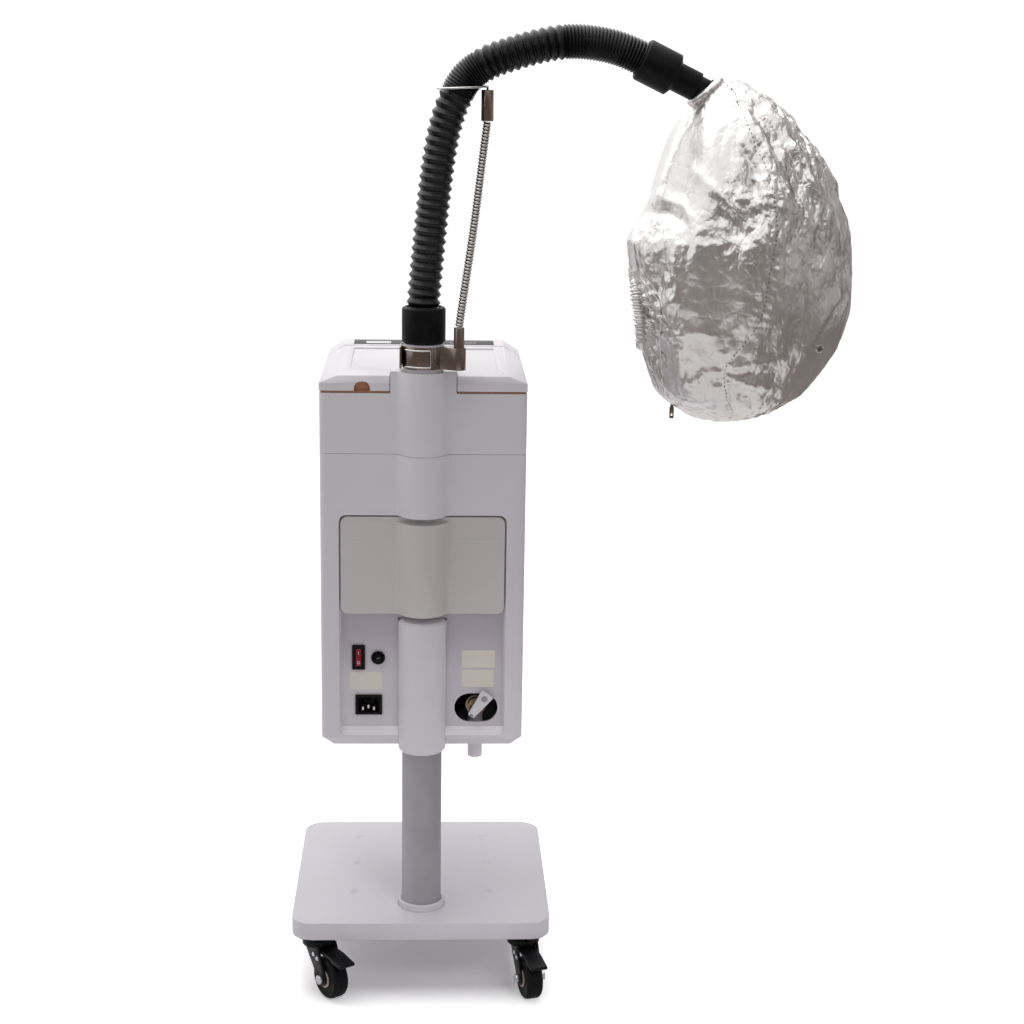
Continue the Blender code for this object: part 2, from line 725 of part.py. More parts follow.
def make_pedal(name, swivel):
    top = CROWN_BOTTOM - RUNNING * 2
    low = top - PEDAL_THICKNESS
    tip = -(CASTER_TRAIL + PEDAL_REACH)
    bend = tip * PEDAL_BEND_SHARE
    outline = [
        (PEDAL_TAIL, low),
        (PEDAL_TAIL, top),
        (bend, top),
        (tip, low + PEDAL_THICKNESS * PEDAL_TIP_SHARE),
        (tip, low - PEDAL_THICKNESS * PEDAL_LIP_SHARE),
        (bend * PEDAL_TREAD_SHARE, low - PEDAL_THICKNESS * PEDAL_LIP_SHARE),
        (bend, low),
    ]
    half = WHEEL_WIDTH / 2
    pedal = prism("brake_pedal_" + name, [outline], -half, half, black, along_x)
    pivot = Vector((0, 0, (top + low) / 2))
    pedal.data.transform(Matrix.Translation(-pivot))
    pedal.parent = swivel
    pedal.location = pivot


def make_casters():
    shared_fork = fork_mesh()
    for name, side_x, side_y, angle in CASTERS:
        x = side_x * (PLATE_WIDTH / 2 - CASTER_INSET)
        y = PLATE_REAR + CASTER_INSET if side_y < 0 else PLATE_FRONT - CASTER_INSET
        place = bpy.data.objects.new("caster_place_" + name, None)
        swivel = bpy.data.objects.new("caster_swivel_" + name, None)
        for empty in (place, swivel):
            parts.objects.link(empty)
            empty.location = (x, y, 0)
        swivel.rotation_euler = (0, 0, math.radians(angle))
        make_caster_plate(name, place)
        fork = bpy.data.objects.new("caster_fork_" + name, shared_fork)
        parts.objects.link(fork)
        fork.parent = swivel
        make_wheel(name, swivel)
        if side_y < 0:
            make_pedal(name, swivel)


# Cabinet

def cabinet_outline(inset=0.0, radius=CABINET_CORNER):
    low = (-HALF_WIDTH + inset, REAR + inset)
    high = (HALF_WIDTH - inset, FRONT - inset)
    return rounded_rectangle(low, high, radius, 5)


def panel_place(place, side):
    # Centre of a fitting on the rear panel, on one side of the column.
    return side * (PANEL_MIDDLE + place[0]), RECESS_BOTTOM + place[1]


def around(centre, size, grow=0.0):
    (x, z), (width, height) = centre, size
    low = (x - width / 2 - grow, z - height / 2 - grow)
    high = (x + width / 2 + grow, z + height / 2 + grow)
    return low, high


def panel_box(name, centre, size, near, far, material=None, grow=0.0, helper=False):
    low, high = around(centre, size, grow)
    return box(name, (low[0], near, low[1]), (high[0], far, high[1]), material, helper)


def make_main_housing():
    housing = loft(
        "main_housing",
        [
            at_height(cabinet_outline(BOTTOM_CHAMFER, CABINET_CORNER / 2), CABINET_BOTTOM),
            at_height(cabinet_outline(), CABINET_BOTTOM + BOTTOM_CHAMFER),
            at_height(cabinet_outline(), SEAM),
        ],
        white,
    )
    column = column_outline(COLUMN_RADIUS, REAR, COLUMN_FILLET, REAR + BITE)
    join(housing, prism("main_column", [column], RECESS_TOP, SEAM, helper=True))

    floor = CABINET_BOTTOM + BOTTOM_CHAMFER + WALL
    side = HALF_WIDTH - WALL
    inside = box("main_inside", (-side, PANEL_INSIDE, floor), (side, FRONT - WALL, SEAM + PASS), helper=True)
    cut(housing, inside)
    low, high = bottom_opening()
    hatch = box("bottom_hatch", (*low, CABINET_BOTTOM - PASS), (*high, floor + PASS), helper=True)
    cut(housing, hatch)

    recess = rounded_rectangle((-HALF_RECESS, RECESS_BOTTOM), (HALF_RECESS, RECESS_TOP), RECESS_CORNER)
    cut(housing, prism("rear_recess", [recess], REAR - COLUMN_DIAMETER, PANEL, frame=along_y, helper=True))

    saddle_side = COLUMN_RADIUS + SADDLE_WALL
    saddle = box(
        "pole_saddle",
        (-saddle_side, PANEL_INSIDE - BITE, floor + PASS),
        (saddle_side, saddle_side, SLEEVE_TOP - SLEEVE_CAP),
        helper=True,
    )
    join(housing, saddle)
    sleeve_room = COLUMN_RADIUS + FIT
    cut(housing, cylinder("sleeve_room", sleeve_room, SLEEVE_BOTTOM - PASS, SLEEVE_TOP + FIT))

    bay_low, bay_high = tank_body_box(RUNNING)
    bay = box(
        "tank_bay",
        (bay_low[0], PANEL - PASS, bay_low[2]),
        (bay_high[0], PANEL_INSIDE + PASS, bay_high[2]),
        helper=True,
    )
    cut(housing, bay)
    near, far = PANEL - PASS, PANEL_INSIDE + PASS
    for name, place, size in (("switch", SWITCH_PLACE, SWITCH_SIZE), ("inlet", INLET_PLACE, INLET_SIZE)):
        centre = panel_place(place, -1)
        cut(housing, panel_box(name + "_hole", centre, size, near, far, grow=FIT - BEZEL_LIP, helper=True))
    x, z = panel_place(FUSE_PLACE, -1)
    barrel = FUSE_BARREL_DIAMETER / 2 + FIT
    cut(housing, cylinder("fuse_hole", barrel, near, far, (x, 0, z), (0, 1, 0), 20))
    low, high = around(panel_place(VALVE_PLACE, 1), VALVE_OPENING)
    oval = rounded_rectangle(low, high, VALVE_OPENING[1] * FULL_ROUND_SHARE, 9)
    cut(housing, prism("valve_opening", [oval], near, far, frame=along_y, helper=True))


def bottom_opening():
    inset = BOTTOM_CHAMFER + WALL
    return (-HALF_WIDTH + inset, REAR + inset), (HALF_WIDTH - inset, FRONT - inset)


def make_bottom_cover():
    low, high = bottom_opening()
    top = CABINET_BOTTOM + WALL
    cover = box(
        "bottom_cover",
        (low[0] + FIT, low[1] + FIT, CABINET_BOTTOM),
        (high[0] - FIT, high[1] - FIT, top),
        white,
    )
    cut(cover, cylinder("cover_sleeve_hole", COLUMN_RADIUS + FIT, SLEEVE_BOTTOM - PASS, top + PASS))
    spout = cylinder(
        "cover_spout_hole",
        SPOUT_DIAMETER / 2 + FIT,
        CABINET_BOTTOM - PASS,
        top + PASS,
        (*spout_place(), 0),
        steps=24,
    )
    cut(cover, spout)


def make_pole_sleeve():
    bore = POLE_RADIUS + FIT
    bore_top = SLEEVE_TOP - SLEEVE_CAP
    turned(
        "pole_sleeve",
        [
            (0, SLEEVE_TOP),
            (COLUMN_RADIUS - SLEEVE_EDGE, SLEEVE_TOP),
            (COLUMN_RADIUS, SLEEVE_TOP - SLEEVE_EDGE),
            (COLUMN_RADIUS, SLEEVE_BOTTOM + SLEEVE_EDGE),
            (COLUMN_RADIUS - SLEEVE_EDGE, SLEEVE_BOTTOM),
            (bore, SLEEVE_BOTTOM),
            (bore, bore_top),
            (0, bore_top),
        ],
        white,
        steps=36,
    )


def tank_body_box(grow=0.0):
    side = HALF_TANK - TANK_STEP + grow
    low = (-side, PANEL - BITE, TANK_BOTTOM + TANK_STEP - grow)
    high = (side, REAR + TANK_DEPTH, TANK_TOP - TANK_STEP + grow)
    return low, high


def make_water_tank():
    face = rounded_rectangle((-HALF_TANK, TANK_BOTTOM), (HALF_TANK, TANK_TOP), TANK_CORNER)
    tank = prism("water_tank", [face], REAR, PANEL - FIT, milky, along_y)
    column = column_outline(COLUMN_RADIUS, REAR, COLUMN_FILLET, PANEL - BITE)
    bulge_top = TANK_TOP - TANK_BULGE_TOP_GAP
    low, high = tank_body_box()
    join(tank, prism("tank_bulge", [column], TANK_BOTTOM + FIT, bulge_top, helper=True))
    join(tank, box("tank_body", low, high, helper=True))
    hollow_low = [value + TANK_WALL for value in low]
    hollow_low[1] = PANEL_INSIDE
    hollow_high = (high[0] - TANK_WALL, high[1] - TANK_WALL, high[2] + PASS)
    cut(tank, box("tank_hollow", hollow_low, hollow_high, helper=True))


def make_tank_shelf():
    top = TANK_BOTTOM + TANK_STEP - RUNNING
    side = HALF_WIDTH - WALL - FIT
    low = (-side, PANEL_INSIDE + FIT, top - SHELF_THICKNESS)
    box("tank_shelf", low, (side, REAR + TANK_DEPTH + PASS, top), zinc)


def make_upper_housing():
    outline = cabinet_outline()
    housing = loft("upper_housing", [at_height(outline, UPPER_BOTTOM), at_height(outline, UPPER_TOP)], white)
    column = column_outline(COLUMN_RADIUS, REAR, COLUMN_FILLET, REAR + BITE)
    join(housing, prism("upper_column", [column], UPPER_BOTTOM, LID_TOP, helper=True))
    block_low = (-HALF_BLOCK, REAR, UPPER_TOP - BITE)
    join(housing, box("outlet_block", block_low, (HALF_BLOCK, BLOCK_FRONT, LID_TOP), helper=True))

    side = HALF_WIDTH - WALL
    floor = UPPER_TOP - COMPARTMENT_DEPTH
    under = box(
        "upper_underside",
        (-side, PANEL_INSIDE, UPPER_BOTTOM - PASS),
        (side, FRONT - WALL, floor - WALL),
        helper=True,
    )
    store_side = HALF_WIDTH - COMPARTMENT_BORDER
    store = box(
        "lid_compartment",
        (-store_side, BLOCK_FRONT + WALL, floor),
        (store_side, HINGE_LINE - SEAL_WIDTH, UPPER_TOP + PASS),
        helper=True,
    )
    board_side = BOARD_SIZE[0] / 2 - BITE
    front_well = box(
        "board_well",
        (-board_side, board_middle() - BOARD_SIZE[1] / 2 + BITE, floor - WALL - PASS),
        (board_side, board_middle() + BOARD_SIZE[1] / 2 - BITE, UPPER_TOP + PASS),
        helper=True,
    )
    bore = cylinder("outlet_seat", OUTLET_RADIUS + FIT, OUTLET_BOTTOM - FIT, LID_TOP + PASS)
    pipe_hole = cylinder(
        "pipe_hole",
        PIPE_DIAMETER / 2 + FIT,
        UPPER_BOTTOM - PASS,
        OUTLET_BOTTOM + PASS,
        (0, PIPE_OFFSET, 0),
        steps=16,
    )
    cut(housing, under, store, front_well, bore, pipe_hole)


def lid_section(height, lean, low_y, high_y, inset=0.0):
    side = HALF_WIDTH - inset - lean
    return [(-side, low_y, height), (side, low_y, height), (side, high_y, height), (-side, high_y, height)]


def lid_lean(height):
    return LID_CHAMFER * (height - SHOULDER) / (LID_TOP - SHOULDER)


def hinge_pin_hole(name):
    radius = HINGE_PIN_DIAMETER / 2 + FIT
    return cylinder(name, radius, -HALF_WIDTH, HALF_WIDTH, (0, HINGE_LINE, HINGE_HEIGHT), (1, 0, 0), 12)


def make_lid():
    nose = HINGE_LINE + HINGE_RADIUS
    sections = [lid_section(LID_BOTTOM, 0, REAR, nose), lid_section(SHOULDER, 0, REAR, nose)]
    for y, z in arc((HINGE_LINE, HINGE_HEIGHT), HINGE_RADIUS, 0, 90, 6):
        sections.append(lid_section(z, lid_lean(z), REAR, y))
    lid = loft("lid", sections, white)

    inner_rear = REAR + LID_WALL
    inner_front = HINGE_LINE - HINGE_RADIUS - LID_WALL
    hollow = loft(
        "lid_hollow",
        [
            lid_section(LID_BOTTOM - PASS, 0, inner_rear, inner_front, LID_WALL),
            lid_section(SHOULDER - LID_WALL / 2, 0, inner_rear, inner_front, LID_WALL),
            lid_section(LID_TOP - LID_WALL, LID_CHAMFER, inner_rear, inner_front, LID_WALL),
        ],
        helper=True,
    )
    gap = HALF_BLOCK + BLOCK_GAP
    reach = HINGE_LINE - BLOCK_FRONT
    swing = math.hypot(reach, HINGE_HEIGHT - LID_BOTTOM) - reach
    block_room = box(
        "block_room",
        (-gap, REAR - PASS, LID_BOTTOM - PASS),
        (gap, BLOCK_FRONT + swing + RUNNING, LID_TOP + PASS),
        helper=True,
    )
    tray_side = HALF_WIDTH - LID_CHAMFER - TRAY_BORDER
    tray = loft(
        "tray",
        [
            tray_section(LID_TOP - TRAY_DEPTH, tray_side, 0),
            tray_section(LID_TOP + PASS, tray_side, TRAY_DRAFT),
        ],
        helper=True,
    )
    cut(lid, hollow, block_room, tray, notch_cutter(), hinge_pin_hole("lid_pin_hole"))
    for side in (-1, 1):
        cut(lid, *hinge_lug("lug_room", side, RUNNING, HINGE_RADIUS + PASS))
    bpy.context.view_layer.update()
    set_origin(as_mesh(lid), (0, HINGE_LINE, HINGE_HEIGHT))


def tray_section(height, side, draft):
    low = BLOCK_FRONT + TRAY_BORDER - draft
    high = HINGE_LINE - TRAY_BORDER + draft
    side += draft
    return [(-side, low, height), (side, low, height), (side, high, height), (-side, high, height)]


def notch_cutter():
    x = -HALF_WIDTH + NOTCH_FROM_SIDE
    half = NOTCH_WIDTH / 2
    spring = LID_BOTTOM + NOTCH_HEIGHT - half
    outline = [(x + half, LID_BOTTOM - PASS)] + arc((x, spring), half, 0, 180, 11)
    outline.append((x - half, LID_BOTTOM - PASS))
    deep = REAR + LID_WALL + RUNNING
    return prism("finger_notch", [outline], REAR - PASS, deep, frame=along_y, helper=True)


def hinge_lug(name, side, grow, web_top):
    # A round lug on the hinge axis and the web that holds it to the control housing.
    outer = HALF_WIDTH - LID_CHAMFER - HINGE_LUG_WIDTH / 2 + grow
    inner = outer - HINGE_LUG_WIDTH - 2 * grow
    low_x, high_x = sorted((side * inner, side * outer))
    centre = (0, HINGE_LINE, HINGE_HEIGHT)
    knuckle = cylinder(name, HINGE_RADIUS + grow, low_x, high_x, centre, (1, 0, 0), 16)
    web_reach = HINGE_LINE + HINGE_RADIUS + RUNNING + BITE
    web_bottom = HINGE_HEIGHT - HINGE_RADIUS * HINGE_WEB_SHARE - grow
    web_low = (low_x, HINGE_LINE, web_bottom)
    web_high = (high_x, web_reach, HINGE_HEIGHT + web_top)
    web = box(name + "_web", web_low, web_high, helper=True)
    return knuckle, web


def make_lid_seal():
    low_z, high_z = UPPER_TOP + FIT, SEAL_TOP
    side = HALF_WIDTH - SEAL_INSET
    rear, front = REAR + SEAL_INSET, HINGE_LINE - SEAL_INSET
    outer = rounded_rectangle((-side, rear), (side, front), CABINET_CORNER, 4)
    inner_low = (-side + SEAL_WIDTH, rear + SEAL_WIDTH)
    inner = rounded_rectangle(inner_low, (side - SEAL_WIDTH, front - SEAL_WIDTH), CABINET_CORNER / 2, 4)
    seal = prism("lid_seal", [outer, inner], low_z, high_z, brown)
    x = -HALF_WIDTH + NOTCH_FROM_SIDE
    tab_rear = REAR + LID_WALL + RUNNING
    tab = box(
        "seal_tab",
        (x - NOTCH_WIDTH * NOTCH_TAB_SHARE, tab_rear, low_z),
        (x + NOTCH_WIDTH * NOTCH_TAB_SHARE, tab_rear + SEAL_THICKNESS, LID_TOP - LID_WALL - RUNNING),
        helper=True,
    )
    join(seal, tab)
    gap = HALF_BLOCK + FIT
    room_low = (-gap, REAR - PASS, low_z - PASS)
    room_high = (gap, BLOCK_FRONT, high_z + PASS)
    room = box("seal_block_room", room_low, room_high, helper=True)
    cut(seal, room)


def board_middle():
    return (HINGE_LINE + HINGE_RADIUS + RUNNING + FRONT) / 2


def make_control_housing():
    rear = HINGE_LINE + HINGE_RADIUS + RUNNING
    base = UPPER_TOP + FIT
    housing = loft(
        "control_housing",
        [
            lid_section(base, 0, rear, FRONT),
            lid_section(SHOULDER, 0, rear, FRONT),
            lid_section(LID_TOP, LID_CHAMFER, rear, FRONT - LID_CHAMFER / 2),
        ],
        white,
    )
    hollow = loft(
        "control_hollow",
        [
            lid_section(base - PASS, 0, rear + WALL, FRONT - WALL, WALL),
            lid_section(SHOULDER - WALL, 0, rear + WALL, FRONT - WALL, WALL),
            lid_section(LID_TOP - LID_WALL, LID_CHAMFER, rear + WALL, FRONT - LID_CHAMFER / 2 - WALL, WALL),
        ],
        helper=True,
    )
    low, high = strip_box(FIT)
    seat_low = (*low, LID_TOP - STRIP_THICKNESS - FIT)
    seat = box("strip_seat", seat_low, (*high, LID_TOP + PASS), helper=True)
    cut(housing, hollow, seat)
    for side in (-1, 1):
        join(housing, *hinge_lug("hinge_lug", side, 0.0, HINGE_RADIUS * HINGE_WEB_SHARE))
    cut(housing, hinge_pin_hole("lug_pin_hole"))


def strip_box(grow=0.0):
    middle = (HINGE_LINE + HINGE_RADIUS + FRONT - LID_CHAMFER / 2) / 2
    low = (-STRIP_LENGTH / 2 - grow, middle - STRIP_DEPTH / 2 - grow)
    return low, (STRIP_LENGTH / 2 + grow, middle + STRIP_DEPTH / 2 + grow)


def make_cabinet_top():
    make_upper_housing()
    make_lid()
    make_lid_seal()
    make_control_housing()
    low, high = strip_box()
    box("control_panel", (*low, LID_TOP - STRIP_THICKNESS), (*high, LID_TOP), dark)
    half_pin = HALF_WIDTH - LID_CHAMFER - HINGE_LUG_WIDTH / 2
    pin = cylinder(
        "lid_hinge_pin",
        HINGE_PIN_DIAMETER / 2,
        -half_pin,
        half_pin,
        (0, HINGE_LINE, HINGE_HEIGHT),
        (1, 0, 0),
        12,
        False,
    )
    pin.data.materials.append(steel)
    middle = board_middle()
    board_low = (-BOARD_SIZE[0] / 2, middle - BOARD_SIZE[1] / 2, UPPER_TOP + FIT)
    board_high = (BOARD_SIZE[0] / 2, middle + BOARD_SIZE[1] / 2, UPPER_TOP + FIT + BOARD_THICKNESS)
    box("control_board", board_low, board_high, green)


# Rear panel fittings

def make_switch():
    centre = panel_place(SWITCH_PLACE, -1)
    front = PANEL - FIT - BEZEL_THICKNESS
    switch = panel_box("power_switch", centre, SWITCH_SIZE, front, PANEL - FIT, black)
    seat = PANEL - FIT - BITE / 2
    back = PANEL + SWITCH_BODY_DEPTH
    body = panel_box("switch_body", centre, SWITCH_SIZE, seat, back, grow=-BEZEL_LIP, helper=True)
    deep = front + ROCKER_THICKNESS * ROCKER_POCKET_SHARE
    pocket = panel_box("rocker_pocket", centre, ROCKER_SIZE, front - PASS, deep, grow=RUNNING, helper=True)
    join(switch, body)
    cut(switch, pocket)
    rocker = panel_box(
        "switch_rocker", centre, ROCKER_SIZE, -ROCKER_THICKNESS / 2, ROCKER_THICKNESS / 2, red
    )
    rocker.data.transform(Matrix.Translation((-centre[0], 0, -centre[1])))
    rocker.data.transform(Matrix.Rotation(-ROCKER_TILT, 4, "X"))
    rocker.location = (centre[0], front + ROCKER_THICKNESS * ROCKER_SINK_SHARE, centre[1])


def make_fuse():
    x, z = panel_place(FUSE_PLACE, -1)
    centre = (x, PANEL - FIT, z)
    cap_radius = FUSE_CAP_DIAMETER / 2
    bore = cap_radius + FIT
    cap_depth = FUSE_DEPTH * FUSE_CAP_DEPTH_SHARE
    inward = (0, 1, 0)
    turned(
        "fuse_holder",
        [
            (0, FUSE_DEPTH),
            (FUSE_BARREL_DIAMETER / 2, FUSE_DEPTH),
            (FUSE_BARREL_DIAMETER / 2, 0),
            (FUSE_BEZEL_DIAMETER / 2, 0),
            (FUSE_BEZEL_DIAMETER / 2, -BEZEL_THICKNESS),
            (bore, -BEZEL_THICKNESS),
            (bore, cap_depth),
            (0, cap_depth),
        ],
        black,
        centre,
        inward,
        24,
    )
    face = -BEZEL_THICKNESS - FUSE_CAP_RISE
    cap = cylinder("fuse_cap", cap_radius, face, cap_depth - FIT, centre, inward, 20, False)
    cap.data.materials.append(black)
    slot_half = FUSE_CAP_DIAMETER * FUSE_SLOT_SHARE
    slot = box(
        "fuse_slot",
        (x - FUSE_CAP_DIAMETER, centre[1] + face - PASS, z - slot_half),
        (x + FUSE_CAP_DIAMETER, centre[1] + face + FUSE_CAP_RISE / 2, z + slot_half),
        helper=True,
    )
    cut(cap, slot)


def make_inlet():
    centre = panel_place(INLET_PLACE, -1)
    front = PANEL - FIT - BEZEL_THICKNESS
    inlet = panel_box("mains_inlet", centre, INLET_SIZE, front, PANEL - FIT, black)
    seat = PANEL - FIT - BITE / 2
    back = PANEL + INLET_BODY_DEPTH
    body = panel_box("inlet_body", centre, INLET_SIZE, seat, back, grow=-BEZEL_LIP, helper=True)
    floor = front + INLET_SOCKET_DEPTH
    socket = panel_box("inlet_socket", centre, INLET_SOCKET, front - PASS, floor, helper=True)
    join(inlet, body)
    cut(inlet, socket)
    for step in (-1, 0, 1):
        x = centre[0] + step * PIN_SPACING
        z = centre[1] + (PIN_STAGGER if step == 0 else -PIN_STAGGER / 2)
        pin = panel_box("inlet_pin", (x, z), PIN_SIZE, front + BITE, floor + BITE, helper=True)
        join(inlet, pin)


def spout_place():
    x = panel_place(VALVE_PLACE, 1)[0]
    return x, PANEL + VALVE_SETBACK + VALVE_BODY_LENGTH - VALVE_BODY_DIAMETER / 2


def make_drain():
    x, z = panel_place(VALVE_PLACE, 1)
    inward = (0, 1, 0)
    lever_back = PANEL - LEVER_CLEARANCE
    lever_front = lever_back - LEVER_THICKNESS
    ring_front = VALVE_SETBACK
    ring_back = ring_front + VALVE_RING_DIAMETER / 4
    stem = VALVE_STEM_DIAMETER / 2
    stem_end = lever_front - PANEL + LEVER_THICKNESS * STEM_SHARE
    turned(
        "drain_valve",
        [
            (0, ring_front + VALVE_BODY_LENGTH),
            (VALVE_BODY_DIAMETER / 2, ring_front + VALVE_BODY_LENGTH),
            (VALVE_BODY_DIAMETER / 2, ring_back),
            (VALVE_RING_DIAMETER / 2, ring_back),
            (VALVE_RING_DIAMETER / 2, ring_front),
            (stem, ring_front),
            (stem, stem_end),
            (0, stem_end),
        ],
        brass,
        (x, PANEL, z),
        inward,
        24,
    )
    spout_x, spout_y = spout_place()
    spout_top = z - VALVE_BODY_DIAMETER / 2 - FIT
    spout_low = CABINET_BOTTOM - SPOUT_BELOW_CABINET
    turned(
        "drain_spout",
        ring(SPOUT_DIAMETER / 2, SPOUT_BORE / 2, spout_low, spout_top),
        white,
        (spout_x, spout_y, 0),
        steps=24,
    )
    outline = [
        (LEVER_ABOVE, -LEVER_BROAD / 2),
        (LEVER_ABOVE, LEVER_BROAD / 2),
        (-LEVER_BELOW, LEVER_NARROW / 2),
        (-LEVER_BELOW, -LEVER_NARROW / 2),
    ]
    frame = along_y @ Matrix.Rotation(LEVER_ANGLE, 4, "Z")
    lever = prism("drain_lever", [outline], -LEVER_THICKNESS / 2, LEVER_THICKNESS / 2, white, frame)
    lever.location = (x, (lever_front + lever_back) / 2, z)
    bore = cylinder(
        "lever_bore",
        stem + FIT,
        lever_front + LEVER_THICKNESS * LEVER_BORE_SHARE,
        lever_back + PASS,
        (x, 0, z),
        inward,
        16,
    )
    cut(lever, bore)


# Inside

def make_boiler():
    low = CABINET_BOTTOM + WALL + FIT
    top = low + BOILER_HEIGHT
    neck_top = top + BOILER_NECK_HEIGHT
    outer = BOILER_DIAMETER / 2
    neck = BOILER_NECK_DIAMETER / 2
    place = (0, REAR + BOILER_FROM_REAR, 0)
    turned(
        "boiler",
        [
            (0, low + BOILER_WALL),
            (outer - BOILER_WALL, low + BOILER_WALL),
            (outer - BOILER_WALL, top - BOILER_WALL),
            (neck - BOILER_WALL, top - BOILER_WALL),
            (neck - BOILER_WALL, neck_top),
            (neck, neck_top),
            (neck, top),
            (outer, top),
            (outer, low),
            (0, low),
        ],
        steel,
        place,
    )
    inner = outer + FIT
    turned(
        "band_heater",
        ring(inner + HEATER_THICKNESS, inner, low, low + HEATER_HEIGHT),
        steel,
        place,
    )
    start = Vector((0, place[1], neck_top + FIT))
    end = Vector((0, PIPE_OFFSET, OUTLET_BOTTOM + PASS))
    turn = SEAM - BAND_ABOVE_TANK / 2
    route = [
        start,
        Vector((0, place[1], turn - BOILER_DIAMETER / 2)),
        Vector((0, (place[1] + PIPE_OFFSET) / 2, turn)),
        Vector((0, PIPE_OFFSET, UPPER_BOTTOM)),
    ]
    path = smooth_path(route, (0, 0, 1), (0, 0, 1), 4) + [end]
    pipe = tube("steam_pipe", path, PIPE_DIAMETER / 2, steel, 1)
    bore_path = [path[0] - Vector((0, 0, PASS))] + path + [path[-1] + Vector((0, 0, PASS))]
    bore = tube("steam_pipe_bore", bore_path, PIPE_BORE / 2, None, 1, helper=True)
    bpy.context.view_layer.update()
    cut(as_mesh(pipe), as_mesh(bore))


# Outlet, clamp and latch

def make_outlet():
    bore = OUTLET_RADIUS - OUTLET_WALL
    turned("steam_outlet", ring(OUTLET_RADIUS, bore, OUTLET_BOTTOM, OUTLET_TOP), rubber)


def ferrule_place():
    return FERRULE_REACH * math.cos(FERRULE_ANGLE), FERRULE_REACH * math.sin(FERRULE_ANGLE)


def make_clamp():
    inner = OUTLET_RADIUS + FIT
    outer = inner + CLAMP_BAND
    socket = FERRULE_DIAMETER / 2 + FIT + SOCKET_WALL
    turn = math.degrees(FERRULE_ANGLE)
    centre = ferrule_place()
    outline = arc((0, 0), outer, turn + 16, turn + 344, 33)
    outline += arc(centre, socket, turn - 115, turn + 115, 13)
    holes = [circle((0, 0), inner, 36), circle(centre, FERRULE_DIAMETER / 2 + FIT, 20)]
    clamp = prism("clamp_band", [outline] + holes, CLAMP_BOTTOM, CLAMP_TOP, nickel)
    ear_low = LATCH_LENGTH / 2 + LATCH_THICKNESS / 2 + RUNNING
    ear_high = ear_low + LATCH_THICKNESS
    foot = -math.sqrt(outer**2 - ear_low**2) + CLAMP_BAND / 2
    ear = box(
        "latch_ear",
        (-outer - LATCH_GAP - LATCH_THICKNESS, ear_low, CLAMP_BOTTOM),
        (foot, ear_high, CLAMP_TOP),
        helper=True,
    )
    join(clamp, ear)
    turned(
        "lower_ferrule",
        [
            (0, CLAMP_BOTTOM + FERRULE_HEIGHT),
            (FERRULE_DIAMETER / 2, CLAMP_BOTTOM + FERRULE_HEIGHT),
            (FERRULE_DIAMETER / 2, CLAMP_BOTTOM),
            (0, CLAMP_BOTTOM),
        ],
        nickel,
        (*centre, 0),
        steps=20,
    )


def make_latch():
    band = OUTLET_RADIUS + FIT + CLAMP_BAND
    inner_x = -(band + LATCH_GAP)
    outer_x = inner_x - LATCH_THICKNESS
    half = LATCH_LENGTH / 2
    lever = box(
        "latch_lever",
        (outer_x, -half, CLAMP_BOTTOM),
        (inner_x, half, CLAMP_TOP),
        nickel,
    )
    set_origin(lever, ((outer_x + inner_x) / 2, half, CLAMP_BOTTOM))
    wire = BAIL_WIRE / 2
    reach = band + BAIL_GAP + wire
    start = math.pi + math.asin(min(1.0, (half + BAIL_GAP + wire) / reach))
    legs = []
    for height in (CLAMP_TOP - BAIL_INSET, CLAMP_BOTTOM + BAIL_INSET):
        leg = []
        for i in range(9):
            angle = start + BAIL_SWEEP * i / 8
            leg.append(Vector((reach * math.cos(angle), reach * math.sin(angle), height)))
        legs.append(leg)
    bail = tube("latch_bail", legs[0] + list(reversed(legs[1])), wire, nickel, 1)
    pivot = legs[1][0]
    for point in bail.data.splines[0].points:
        point.co = (*(point.co.xyz - pivot), 1.0)
    bail.location = pivot


# Hose, cuffs and gooseneck

def arm_point(outward, height):
    return Vector((outward, 0, height))


def hose_foot():
    return LOWER_CUFF_BOTTOM + LOWER_CUFF_SEAT + FIT


def hose_end_way():
    return Vector((math.cos(HOSE_END_SLOPE), 0, math.sin(HOSE_END_SLOPE)))


def hose_path():
    foot = hose_foot()
    bends = [arm_point(outward, foot + up) for outward, up in HOSE_ROUTE]
    way = hose_end_way()
    curve = smooth_path(bends, (0, 0, 1), way)
    return [arm_point(0, foot)] + curve + [curve[-1] + way * HOSE_DIAMETER]


def make_hose():
    path = hose_path()
    lengths = lengths_along(path)
    first = LOWER_CUFF_HEIGHT - LOWER_CUFF_SEAT
    last = lengths[-1] - HOSE_IN_UPPER_CUFF
    valley = (HOSE_RADIUS - HOSE_RIB_DEPTH) / HOSE_RADIUS
    stretch = (last - first) / sum(count * pitch for count, pitch in HOSE_ZONES)
    points, scales = [path[0]], [valley]
    place = first
    for count, pitch in HOSE_ZONES:
        depth = valley if pitch > HOSE_RIB_DEPTH * 2 else (1.0 + valley) / 2
        for i in range(count):
            points.append(point_along(path, lengths, place))
            points.append(point_along(path, lengths, place + pitch * stretch / 2))
            scales += [depth, 1.0]
            place += pitch * stretch
    points += [point_along(path, lengths, last), path[-1]]
    scales += [valley, valley]
    hose = tube("hose", points, HOSE_RADIUS, rubber, 2, scales=scales)
    bore_path = path[:1] + path[1:-1:6] + path[-2:]
    bore_path[0] = path[0] - arm_point(0, PASS)
    bore_path[-1] = path[-1] + hose_end_way() * PASS
    bore = tube("hose_bore", bore_path, HOSE_BORE / 2, None, 2, helper=True)
    bpy.context.view_layer.update()
    cut(as_mesh(hose), as_mesh(bore))
    return path


